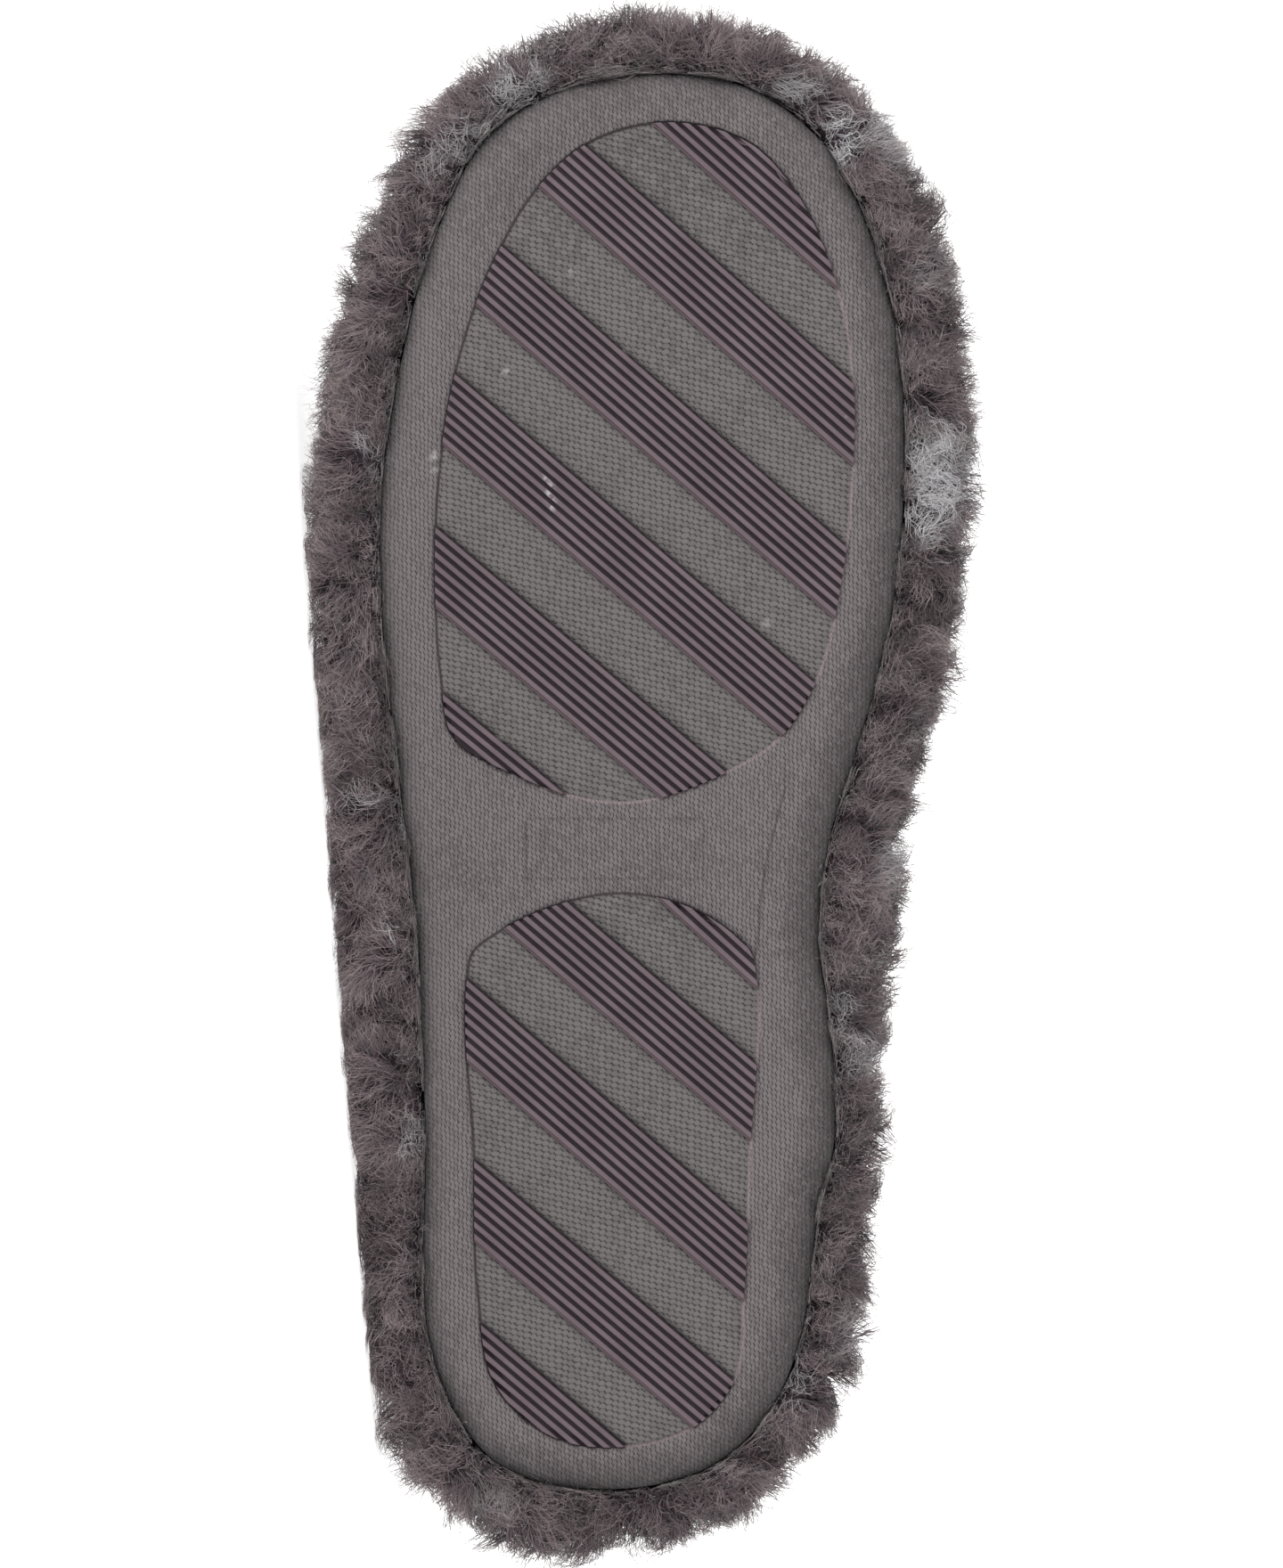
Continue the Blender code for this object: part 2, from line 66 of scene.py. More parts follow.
up_in_shoe = np.array([FLOOR_SLOPE, 1.0, -FLOOR_LEAN])
up_in_shoe /= np.linalg.norm(up_in_shoe)
heelward = -(np.array([1.0, 0.0, 0.0]) - up_in_shoe * up_in_shoe[0])
heelward /= np.linalg.norm(heelward)
TURN = np.array([heelward, np.cross(up_in_shoe, heelward), up_in_shoe])
FLOOR_LIFT = -(TURN @ np.array([REST_HEEL[0], -REST_HEEL[1], 0.0]))[2]
SHIFT = np.array([*CENTRE, FLOOR_LIFT])


def laid(points):
    """Points in the shoe's millimetres, as points of the room in metres."""
    return (np.asarray(points, float) @ TURN.T + SHIFT) * MM


def turned(directions):
    return np.asarray(directions, float) @ TURN.T


print("the middle line at the ground lies", round(FLOOR_LIFT, 1), "mm above the floor")

# %% [markdown]
# ## The camera
#
# The picture looks straight at the sole with the toe up. The slipper lies on its side, so the camera
# stands low in front of the sole and is rolled by a quarter turn. A long lens from over a metre and
# a half keeps the sole's outline free of perspective, as in a catalogue picture.

# %% Camera
PICTURE = (1440, 1760)
MM_PER_PIXEL = 0.1617
LENS = 200.0
SENSOR = 36.0
AIM = (127.74, 0.0, 0.0)

picture_height = PICTURE[1] * MM_PER_PIXEL
camera_distance = picture_height * LENS / SENSOR
look = turned([0.0, 0.0, 1.0])
toe_up = turned([1.0, 0.0, 0.0])
side = np.cross(look, toe_up)

camera_data = bpy.data.cameras.new("camera")
camera_data.lens = LENS
camera_data.sensor_width = SENSOR
camera_data.sensor_fit = "AUTO"
camera_data.clip_start = 0.05
camera_data.clip_end = 30.0
camera = bpy.data.objects.new("camera", camera_data)
bpy.context.scene.collection.objects.link(camera)
seat = laid(AIM) - look * camera_distance * MM
camera.matrix_world = Matrix.Translation(Vector(seat)) @ Matrix(
    [[side[i], toe_up[i], -look[i]] for i in range(3)]
).to_4x4()
bpy.context.scene.camera = camera
print("camera", seat.round(3), "distance, mm", round(camera_distance))

# %% [markdown]
# ## Materials
#
# Every finish here is worked out by nodes. A node's output is wrapped as a value that can be added
# and multiplied like a number, so that the formula of a pattern reads as a formula.

# %% Node patterns
BLACK, WHITE = (0.0, 0.0, 0.0), (1.0, 1.0, 1.0)


class Value:
    """One output of a node. Sums and products of values add the nodes that work them out."""

    def __init__(self, pattern, socket):
        self.pattern = pattern
        self.socket = socket

    def __add__(self, other):
        return self.pattern.math("ADD", self, other)

    def __sub__(self, other):
        return self.pattern.math("SUBTRACT", self, other)

    def __rsub__(self, other):
        return self.pattern.math("SUBTRACT", other, self)

    def __mul__(self, other):
        return self.pattern.math("MULTIPLY", self, other)


class Pattern:
    """One material, and short ways to add nodes to it."""

    def __init__(self, name):
        self.material = bpy.data.materials.new(name)
        self.material.use_nodes = True
        self.tree = self.material.node_tree
        self.shader = self.tree.nodes["Principled BSDF"]

    def give(self, socket, value):
        """Sets an input to a number or a colour, or links a value to it."""
        if isinstance(value, Value):
            self.tree.links.new(value.socket, socket)
        else:
            socket.default_value = (*value, 1.0) if isinstance(value, tuple) else value

    def node(self, kind, output, inputs, **settings):
        """One output of a new node that has these inputs."""
        made = self.tree.nodes.new("ShaderNode" + kind)
        for key, setting in settings.items():
            setattr(made, key, setting)
        for key, value in inputs.items():
            self.give(made.inputs[key], value)
        return Value(self, made.outputs[output])

    def read(self, key, output="Fac"):
        return self.node("Attribute", output, {}, attribute_name=key)

    def split(self, vector):
        made = self.tree.nodes.new("ShaderNodeSeparateXYZ")
        self.give(made.inputs[0], vector)
        return [Value(self, output) for output in made.outputs]

    def math(self, operation, *values):
        return self.node("Math", 0, dict(enumerate(values)), operation=operation)

    def ramp(self, value, low, high, to_low=0.0, to_high=1.0):
        """A smooth rise from one value to another as the input goes from low to high."""
        ends = {"From Min": low, "From Max": high, "To Min": to_low, "To Max": to_high}
        return self.node("MapRange", "Result", {"Value": value, **ends}, interpolation_type="SMOOTHSTEP")

    def mix(self, share, first, second, blend="MIX"):
        """Two colours mixed. Each may be three numbers or another node's colour."""
        inputs = {0: share, 6: first, 7: second}
        return self.node("Mix", 2, inputs, data_type="RGBA", blend_type=blend)

    def toned(self, colour, tone):
        """A colour made darker where the tone is under 1."""
        return self.mix(1.0, colour, self.mix(tone, BLACK, WHITE), "MULTIPLY")

    def chance(self, first, second):
        """A fixed random number from 0 to 1 for each pair of whole numbers."""
        pair = self.node("CombineXYZ", 0, {0: first, 1: second})
        return self.node("TexWhiteNoise", "Value", {"Vector": pair}, noise_dimensions="2D")

    def noise(self, place, scale, detail=2.0, roughness=0.5):
        inputs = {"Scale": scale, "Detail": detail, "Roughness": roughness}
        if place:
            inputs["Vector"] = place
        return self.node("TexNoise", "Fac", inputs)

    def bump(self, height, distance, strength=1.0, under=None):
        inputs = {"Height": height, "Distance": distance, "Strength": strength}
        if under:
            inputs["Normal"] = under
        return self.node("Bump", "Normal", inputs)

    def finished(self, colour, bumps, roughness, specular, sheen=0.0, sheen_roughness=0.5):
        """Joins the colour and the bumps to the shader, and gives back the material."""
        inputs = {
            "Base Color": colour, "Roughness": roughness, "Specular IOR Level": specular,
            "Sheen Weight": sheen, "Sheen Roughness": sheen_roughness,
        }
        if bumps:
            inputs["Normal"] = bumps
        for key, value in inputs.items():
            self.give(self.shader.inputs[key], value)
        return self.material


# %% [markdown]
# ## Floor, backdrop and light
#
# A catalogue picture of this kind is lit by big soft lights over a white sweep. The floor and the
# backdrop are one smooth sheet, so no horizon shows. The sheet glows a little, like a light table,
# which keeps it white and lights the side of the slipper that faces it. One large soft light stands
# in front on the toe's side, as in the picture, where the toe end and the left of the sole are
# brightest.

# %% Sweep
SWEEP_HALF = 3.0
SWEEP_FLAT_TO = 1.2
SWEEP_RADIUS = 0.9
SWEEP_TOP = 3.0
SWEEP_BENDS = 24


def sweep_profile():
    rows = [(-SWEEP_HALF, 0.0), (SWEEP_FLAT_TO, 0.0)]
    for angle in np.linspace(0, math.pi / 2, SWEEP_BENDS + 1)[1:]:
        rows.append((
            SWEEP_FLAT_TO + SWEEP_RADIUS * math.sin(angle),
            SWEEP_RADIUS * (1 - math.cos(angle)),
        ))
    return rows + [(SWEEP_FLAT_TO + SWEEP_RADIUS, SWEEP_TOP)]


bm = bmesh.new()
rows = [[bm.verts.new((x, y, z)) for x in (-SWEEP_HALF, SWEEP_HALF)] for y, z in sweep_profile()]
for (a, b), (c, d) in zip(rows, rows[1:]):
    bm.faces.new((a, b, d, c))
sweep_mesh = bpy.data.meshes.new("sweep")
bm.to_mesh(sweep_mesh)
bm.free()
sweep_mesh.shade_smooth()
sweep = bpy.data.objects.new("sweep", sweep_mesh)
bpy.context.scene.collection.objects.link(sweep)
paper = Pattern("white_paper")
paper.give(paper.shader.inputs["Emission Color"], WHITE)
paper.give(paper.shader.inputs["Emission Strength"], 0.80)
grain = paper.bump(paper.noise(None, 900.0), 0.0002, 0.02)
sweep_mesh.materials.append(paper.finished((0.62, 0.62, 0.62), grain, 0.9, 0.1))

# %% Lights
Lamp = namedtuple("Lamp", "name place size watts")
LAMPS = (
    Lamp("key", (-1.0, -1.35, 0.55), 1.1, 20.0),
    Lamp("front_fill", (0.8, -1.5, 0.7), 1.3, 7.0),
    Lamp("overhead", (0.1, 0.1, 1.7), 1.6, 6.5),
    Lamp("behind", (0.3, 1.5, 0.9), 1.3, 14.0),
)
for lamp in LAMPS:
    data = bpy.data.lights.new(lamp.name, "AREA")
    data.shape = "SQUARE"
    data.size = lamp.size
    data.energy = lamp.watts
    obj = bpy.data.objects.new(lamp.name, data)
    bpy.context.scene.collection.objects.link(obj)
    obj.location = lamp.place
    aim = Vector((0.0, 0.0, 0.05)) - Vector(lamp.place)
    obj.rotation_euler = aim.to_track_quat("-Z", "Y").to_euler()

world = bpy.data.worlds.new("studio")
world.use_nodes = True
sky = world.node_tree.nodes["Background"].inputs
sky["Color"].default_value = (1.0, 1.0, 1.0, 1.0)
sky["Strength"].default_value = 0.31
bpy.context.scene.world = world
bpy.context.scene.view_settings.view_transform = "Standard"
bpy.context.scene.view_settings.look = "None"
print(len(LAMPS), "soft lights")

# %% [markdown]
# ## Outlines
#
# The sole, the two sunk pads under it and the reach of the pile all come from a few cross-sections,
# as on a shoemaker's pattern: how wide the outline is to the outer and to the inner side of the
# middle line. A smooth closed curve through those points gives each outline.

# %% Pattern of the sole
Section = namedtuple("Section", "at outer inner pile_outer pile_inner", defaults=(0.0, 0.0))
SOLE = [Section(*row) for row in (
    (-0.8, 4.9, -4.9, 12.0, 12.0), (4.2, 26.7, 14.1, 12.0, 10.6), (14.2, 34.6, 23.8, 12.2, 10.8),
    (27.5, 38.9, 29.2, 12.6, 10.4), (43.7, 39.8, 31.5, 13.2, 9.4), (51.7, 39.6, 32.5, 14.0, 9.0),
    (59.8, 39.4, 34.7, 14.6, 7.8), (82.5, 40.1, 34.6, 15.6, 9.0), (100.0, 40.9, 32.4, 16.0, 13.4),
    (118.0, 43.0, 34.3, 15.8, 14.2), (131.0, 44.4, 38.3, 15.4, 14.0), (156.8, 47.2, 45.3, 14.6, 13.4),
    (181.1, 47.4, 47.8, 14.8, 13.4), (205.4, 43.7, 47.1, 14.8, 13.4), (229.6, 36.9, 41.3, 13.2, 14.4),
    (246.6, 27.5, 31.4, 10.4, 12.8), (255.3, 12.0, 18.5, 10.8, 11.6), (257.4, -2.0, 2.0, 11.4, 11.4),
)]
FORE_PAD = [Section(*row) for row in (
    (124.3, 3.2, -3.2), (129.0, 22.0, 13.7), (137.4, 34.8, 26.4), (145.9, 36.3, 31.5),
    (165.0, 37.5, 36.4), (182.7, 36.9, 38.3), (200.5, 34.3, 38.5), (220.7, 27.8, 34.8),
    (236.9, 18.3, 27.0), (243.4, 11.3, 21.0), (248.1, -4.0, 4.0),
)]
HEEL_PAD = [Section(*row) for row in (
    (7.4, 3.2, -3.2), (8.6, 14.5, 3.8), (11.5, 20.0, 10.3), (18.5, 26.4, 16.4),
    (35.0, 29.7, 18.6), (60.0, 30.4, 19.7), (94.0, 31.5, 20.7), (96.0, 31.2, 20.4),
    (101.4, 25.1, 15.5), (104.6, 18.6, 10.4), (107.9, 3.2, -3.2),
)]

# %% Smooth closed curves
def edge_points(sections):
    outer = [(row.at, -row.outer, row.pile_outer) for row in sections]
    inner = [(row.at, row.inner, row.pile_inner) for row in sections[1:-1]]
    return np.array(outer + inner[::-1])


def smooth_loop(points, between=12):
    """A closed smooth curve through the points: rows of x, y, pile and the outward normal."""
    after = np.roll(points, -1, axis=0)
    chord = np.linalg.norm((after - points)[:, :2], axis=1)[:, None]
    slope = (after - points) / chord
    chord_before = np.roll(chord, 1, axis=0)
    tangent = (np.roll(slope, 1, axis=0) * chord + slope * chord_before) / (chord + chord_before)
    tangent_after = np.roll(tangent, -1, axis=0)
    runs = []
    for t in np.arange(between) / between:
        start = (2 * t**3 - 3 * t**2 + 1) * points + (t**3 - 2 * t**2 + t) * chord * tangent
        end = (3 * t**2 - 2 * t**3) * after + (t**3 - t**2) * chord * tangent_after
        runs.append(start + end)
    loop = np.stack(runs, axis=1).reshape(-1, points.shape[1])
    along = np.roll(loop, -1, axis=0)[:, :2] - np.roll(loop, 1, axis=0)[:, :2]
    along /= np.linalg.norm(along, axis=1)[:, None]
    return np.hstack([loop, along[:, 1:], -along[:, :1]])


SOLE_EDGE = smooth_loop(edge_points(SOLE))
FORE_EDGE = smooth_loop(edge_points(FORE_PAD))
HEEL_EDGE = smooth_loop(edge_points(HEEL_PAD))


def distances(loop):
    steps = np.linalg.norm(np.roll(loop, -1, axis=0)[:, :2] - loop[:, :2], axis=1)
    return np.concatenate([[0.0], np.cumsum(steps)])


def spaced(loop, count, first=0.0, last=None):
    """Rows at even steps along the closed loop, or from first to last with both ends."""
    along = distances(loop)
    if last is None:
        wanted = along[-1] * np.arange(count) / count
    else:
        wanted = np.linspace(first, last, count)
    closed = np.vstack([loop, loop[:1]])
    return np.stack([np.interp(wanted, along, column) for column in closed.T], axis=1)


def grown(rows, by):
    by = np.asarray(by, float).reshape(-1, 1)
    return rows[:, :2] + by * rows[:, 3:5]


print("sole edge, mm round:", round(distances(SOLE_EDGE)[-1], 1))

# %% [markdown]
# ## Distances on the sole
#
# Seams, creases and bands are all lines on the sole, so each point of the sole needs its distance
# to them. A signed distance, negative inside an outline, serves the shape (how deep the crease is)
# and later the finish (where the shadow line falls), because a mesh carries it smoothly between
# its points.

# %% Signed distances
def outline_gap(points, outline):
    """Distance of flat points to a closed outline, negative inside it."""
    starts = outline[:, :2]
    ends = np.roll(starts, -1, axis=0)
    nearest = np.full(len(points), 1e9)
    inside = np.zeros(len(points), bool)
    for (ax, ay), (bx, by) in zip(starts, ends):
        dx, dy = bx - ax, by - ay
        share = (points[:, 0] - ax) * dx + (points[:, 1] - ay) * dy
        share = np.clip(share / (dx * dx + dy * dy), 0, 1)
        away = np.hypot(points[:, 0] - ax - share * dx, points[:, 1] - ay - share * dy)
        nearest = np.minimum(nearest, away)
        crosses = (ay > points[:, 1]) != (by > points[:, 1])
        reach = ax + (points[:, 1] - ay) * dx / (dy if dy else 1e-9)
        inside ^= crosses & (points[:, 0] < reach)
    return np.where(inside, -nearest, nearest)


def smoothstep(low, high, value):
    t = np.clip((value - low) / (high - low), 0.0, 1.0)
    return t * t * (3 - 2 * t)


# %% The rubber bands' places
Band = namedtuple("Band", "name at slant")
FORE_BANDS = [Band(*row) for row in (
    ("tread_fore_1", 264.8, 0.900), ("tread_fore_2", 234.8, 0.890), ("tread_fore_3", 203.4, 0.875),
    ("tread_fore_4", 173.2, 0.860), ("tread_fore_5", 142.9, 0.845), ("tread_fore_6", 114.6, 0.820),
)]
HEEL_BANDS = [Band(*row) for row in (
    ("tread_heel_1", 124.9, 0.915), ("tread_heel_2", 94.8, 0.860), ("tread_heel_3", 64.7, 0.870),
    ("tread_heel_4", 33.6, 0.850), ("tread_heel_5", 4.9, 0.850),
)]
RIB_COUNT = 7
RIB_PITCH = 1.66
RIB_FOOT = 1.10
BAND_WIDTH = RIB_PITCH * (RIB_COUNT - 1) + RIB_FOOT


def band_axes(band):
    """Unit directions along a band and across it, towards the toe."""
    along = np.array([-band.slant, 1.0]) / math.hypot(band.slant, 1.0)
    return along, np.array([along[1], -along[0]])


def across_band(points, band):
    """How far each point is on the toe's side of the band's toe-side edge."""
    along, across = band_axes(band)
    return (points - np.array([band.at, 0.0])) @ across


def band_gaps(points, bands):
    """Distance to the nearest band, negative on one, and whether the nearest edge is its toe side."""
    toe_side = np.stack([across_band(points, band) for band in bands])
    heel_side = -toe_side - BAND_WIDTH
    gap = np.maximum(toe_side, heel_side)
    nearest = np.argmin(gap, axis=0)
    pick = np.arange(len(points))
    return gap[nearest, pick], toe_side[nearest, pick] > heel_side[nearest, pick]


SPRING_HEIGHT = 4.0
SPRING_FROM = 150.0


def toe_spring(x):
    """How far the sole has lifted off the ground at each x, up to the toe's tip."""
    return SPRING_HEIGHT * np.clip((x - SPRING_FROM) / (SOLE[-1].at - SPRING_FROM), 0.0, None) ** 2


# %% [markdown]
# ## The knit sole
#
# The real outsole is a piece of ribbed knit bonded over soft foam: a rolled edge, two pads pressed
# a little into it, and softly puffed fields between the rubber bands. A plain grid would step at
# the round edge, so rings follow the outline through the roll, rungs from side to side fill the
# rest, and each point is then raised to its height. The same heights could be sculpted, but a
# formula keeps the creases even.

# %% Heights of the sole
ROLL_WIDTH = 7.6
ROLL_FOOT = 0.7
ROLL_TOP = 7.0
OUTSOLE_TOP = 11.0
ROLL_POWER = 2.1
PAD_SINK = 0.35
CREASE_DEPTH = 0.42
CREASE_WIDTH = 0.30
FIELD_PUFF = 0.55
PUFF_OVER = 1.5
BAND_CREASE = 0.75
BAND_LIP = 0.30
LIP_WIDTH = 0.45
UNDER_BAND = 1.75


def rolled_height(inset):
    rise = np.clip(1 - inset / ROLL_WIDTH, 0.0, 1.0)
    curve = 1 - (1 - rise**ROLL_POWER) ** (1 / ROLL_POWER)
    return ROLL_FOOT + (ROLL_TOP - ROLL_FOOT) * curve


def sole_height(points, edge_gap, pad_gap, band_gap, on_toe_side):
    height = rolled_height(-edge_gap)
    sunk = smoothstep(CREASE_WIDTH, -CREASE_WIDTH, pad_gap)
    height = height + PAD_SINK * sunk + CREASE_DEPTH * np.exp(-((pad_gap / CREASE_WIDTH) ** 2))
    off_band = np.clip(band_gap, 0, None)
    puff = (1 - np.exp(-off_band / PUFF_OVER)) * (1 - np.exp(np.clip(pad_gap, None, 0) / PUFF_OVER))
    height = height - FIELD_PUFF * sunk * puff
    fall = np.where(on_toe_side, BAND_CREASE, BAND_LIP)
    height = height + sunk * fall * np.exp(-off_band / LIP_WIDTH)
    return np.where((band_gap < 0) & (pad_gap < 0), UNDER_BAND, height)


# %% Points of the sole
HALF_STEPS = 380
ACROSS_STEPS = 122
ROLL_INSETS = (0.0, 0.25, 0.7, 1.4, 2.4, 3.6, 5.0, 6.4, 7.8)
WALL_HEIGHTS = (8.4, 9.8, OUTSOLE_TOP)
TOP_CLOSING = (4.0, 12.0)


def paired_rows(count):
    """Rows round the sole's edge, as many on the outer side as on the inner side."""
    along = distances(SOLE_EDGE)
    tip = along[int(np.argmax(SOLE_EDGE[:, 0]))]
    outer_side = spaced(SOLE_EDGE, count + 1, 0.0, tip)
    inner_side = spaced(SOLE_EDGE, count + 1, tip, along[-1])
    return np.vstack([outer_side[:-1], inner_side[:-1]])


def ring_faces(lower, upper_ring):
    lower_next, upper_next = np.roll(lower, -1), np.roll(upper_ring, -1)
    return np.column_stack([lower_next, lower, upper_ring, upper_next]).tolist()


# %% Rings and rungs
edge_rows = paired_rows(HALF_STEPS)
around = len(edge_rows)
rings = [grown(edge_rows, -inset) for inset in ROLL_INSETS]
ring_numbers = [np.arange(around) + k * around for k in range(len(rings))]
knit_faces = []
for outer_ring, inner_ring in zip(ring_numbers, ring_numbers[1:]):
    knit_faces += ring_faces(inner_ring, outer_ring)

# Rungs from the outer side to the inner side fill what the rings leave
last_ring = ring_numbers[-1]
last = rings[-1]
share = np.linspace(0, 1, ACROSS_STEPS + 1)[1:-1, None]
rungs, rung_numbers = [], []
counter = around * len(rings)
for i in range(1, HALF_STEPS):
    start, end = last[i], last[around - i]
    rungs.append(start + (end - start) * share)
    middle = np.arange(counter, counter + ACROSS_STEPS - 1)
    rung_numbers.append(np.concatenate([[last_ring[i]], middle, [last_ring[around - i]]]))
    counter += ACROSS_STEPS - 1
for rung, following in zip(rung_numbers, rung_numbers[1:]):
    knit_faces += np.column_stack([rung[:-1], rung[1:], following[1:], following[:-1]]).tolist()
heel_end = (rung_numbers[0], last_ring[0], 1)
toe_end = (rung_numbers[-1], last_ring[HALF_STEPS], -1)
for rung, tip, turn in (heel_end, toe_end):
    knit_faces += [(tip, a, b)[::-turn] for a, b in zip(rung[:-1], rung[1:])]
knit_flat = np.vstack(rings + rungs)
print("points on the sole:", len(knit_flat))

# %% Meshes in the shoe's coordinates
def new_piece(name, points, corners, sizes, values, finish, copies=1):
    """An object from points in the shoe's millimetres, the corners of all its faces in a row, how
    many each face has (once for all copies), and numbers kept on each point."""
    sizes = np.tile(sizes, copies)
    mesh = bpy.data.meshes.new(name)
    mesh.vertices.add(len(points))
    mesh.vertices.foreach_set("co", laid(points).astype(np.float32).ravel())
    mesh.loops.add(len(corners))
    mesh.loops.foreach_set("vertex_index", corners.astype(np.int32))
    mesh.polygons.add(len(sizes))
    starts = np.concatenate([[0], np.cumsum(sizes)[:-1]])
    mesh.polygons.foreach_set("loop_start", starts.astype(np.int32))
    mesh.update(calc_edges=True)
    mesh.shade_smooth()
    for key, column in values.items():
        attribute = mesh.attributes.new(key, "FLOAT", "POINT")
        attribute.data.foreach_set("value", column.astype(np.float32))
    mesh.materials.append(finish)
    obj = bpy.data.objects.new(name, mesh)
    bpy.context.scene.collection.objects.link(obj)
    return obj


def shaped_piece(name, points, faces, values, finish):
    """An object from a list of faces, which also keeps where each point is in the shoe."""
    corners = np.concatenate([np.asarray(face) for face in faces])
    sizes = np.array([len(face) for face in faces])
    obj = new_piece(name, points, corners, sizes, values, finish)
    own = obj.data.attributes.new("in_shoe", "FLOAT_VECTOR", "POINT")
    own.data.foreach_set("vector", (np.asarray(points) * MM).astype(np.float32).ravel())
    return obj


def faced_outward(obj):
    """Turns every face of a piece the right way out."""
    bm = bmesh.new()
    bm.from_mesh(obj.data)
    bmesh.ops.recalc_face_normals(bm, faces=bm.faces)
    bm.to_mesh(obj.data)
    bm.free()


def placed_piece(obj, slot, *nodes):
    """Puts a finished piece on the slipper's one body, and hides the solids it stands for."""
    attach(obj, "root")
    if nodes:
        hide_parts(*nodes)
    triangles = sum(len(face.vertices) - 2 for face in obj.data.polygons)
    print(obj.name, "has", triangles, "triangles")
    return obj


# %% The knit sole's mesh
edge_gap = outline_gap(knit_flat, edge_rows)
fore_gap, heel_gap = outline_gap(knit_flat, FORE_EDGE), outline_gap(knit_flat, HEEL_EDGE)
pad_gap = np.minimum(fore_gap, heel_gap)
fore_band, fore_toe = band_gaps(knit_flat, FORE_BANDS)
heel_band, heel_toe = band_gaps(knit_flat, HEEL_BANDS)
by_fore = fore_gap < heel_gap
band_gap = np.where(by_fore, fore_band, heel_band)
on_toe_side = np.where(by_fore, fore_toe, heel_toe)
knit_z = sole_height(knit_flat, np.minimum(edge_gap, 0.0), pad_gap, band_gap, on_toe_side)
knit_points = np.column_stack([knit_flat, knit_z])

# The wall above the roll, and the sole's hidden top
wall = [np.column_stack([edge_rows[:, :2], np.full(around, z)]) for z in WALL_HEIGHTS]
wall += [np.column_stack([grown(edge_rows, -inset), np.full(around, OUTSOLE_TOP)]) for inset in TOP_CLOSING]
below = ring_numbers[0]
for ring in wall:
    above = np.arange(len(knit_points), len(knit_points) + around)
    knit_points = np.vstack([knit_points, ring])
    knit_faces += ring_faces(below, above)
    below = above
knit_faces.append(below[::-1].tolist())
knit_points[:, 2] += toe_spring(knit_points[:, 0])
print("sole points:", len(knit_points), "faces:", len(knit_faces))

# %% [markdown]
# ## The knit's finish
#
# The cloth is a fine vertical rib: columns of stitches about 0.8 mm apart, with small dark holes
# between them, each column set off by about a third of a stitch from the next. The fields inside
# the pads were pressed while hot, so their stitches are larger, flatter and greyer, and stand in
# slanting rows. An image could show this, but waves worked out from the shoe's own coordinates stay
# sharp at any size, and the same value drives colour and bump.

# %% Knit stitches
WALE = 0.78
COURSE = 1.00
FIELD_WALE = 1.15
FIELD_COURSE = 1.05


def stitches(pattern, place, wale, course, lean, wander, step, groove, rowed):
    """Knit stitches: 1 on top of each and 0 in the holes between, and each stitch's own tone.

    step is how far one column's stitches sit below the next one's, as a share of a stitch. groove
    and rowed say how much the gaps between columns and between rows show."""
    x, y, _ = pattern.split(place)
    columns = y * (1000 / wale) + wander
    column = pattern.math("FLOOR", columns)
    inside = pattern.math("FRACT", columns) - 0.5
    row = x * (1000 / course) + pattern.math("ABSOLUTE", inside) * lean + column * step
    along = pattern.math("ABSOLUTE", pattern.math("SINE", row * math.pi))
    across = pattern.math("COSINE", inside * math.pi)
    hole = pattern.ramp((1.0 - along) * (1.0 - across), 0.02, 0.62)
    solid = (1.0 - hole) * (1 - groove - rowed) + pattern.ramp(along, 0.0, 0.7) * rowed
    return solid + across * groove, pattern.chance(column, pattern.math("FLOOR", row))


# %% Knit cloth
KNIT_MARGIN = (0.155, 0.137, 0.140)
KNIT_GAP = (0.042, 0.035, 0.038)
FIELD_LIGHT = (0.136, 0.125, 0.124)
FIELD_GAP = (0.038, 0.032, 0.035)
LIT_EDGE_HIGHLIGHT = (0.27, 0.21, 0.215)
SHADOW_LINE = (0.030, 0.022, 0.026)
RUB_COLOUR = (0.50, 0.49, 0.48)

knit = Pattern("ribbed_knit")
place = knit.read("in_shoe", "Vector")
wander = knit.noise(place, 460.0) * 1.3
fine, fine_tone = stitches(knit, place, WALE, COURSE, 0.8, wander, 0.37, 0.05, 0.10)
coarse, coarse_tone = stitches(knit, place, FIELD_WALE, FIELD_COURSE, 0.15, wander, 0.27, 0.0, 0.34)
in_pad = knit.ramp(knit.read("pad_gap"), 0.1, -0.3)
cloth = knit.mix(fine, KNIT_GAP, KNIT_MARGIN)
field_cloth = knit.mix(coarse, FIELD_GAP, FIELD_LIGHT)
colour = knit.mix(in_pad, cloth, field_cloth)
# Yarn isn't even: each stitch has its own tone, and there are soft patches a few millimetres wide
# and single lighter stitches
stitch_tone = knit.ramp(fine_tone + in_pad * (coarse_tone - fine_tone), 0.0, 1.0, 0.86, 1.13)
patches = knit.ramp(knit.noise(place, 95.0, 3.0), 0.3, 0.7, 0.93, 1.06)
fleck = knit.ramp(knit.noise(place, 1500.0, 1.0), 0.60, 0.78, 1.0, 1.35)
# Painted shade: the knit is darker near its rolled edge, most on the side turned away from the light, and
# it is also darker towards the toe and at the waist
painted_shade_and_dimming = knit.ramp(knit.read("painted_shade_and_dimming"), 0.0, 1.0, 1.0, 0.66)
colour = knit.toned(colour, patches * fleck * stitch_tone * painted_shade_and_dimming)


def size_of(key):
    return knit.math("ABSOLUTE", knit.read(key))


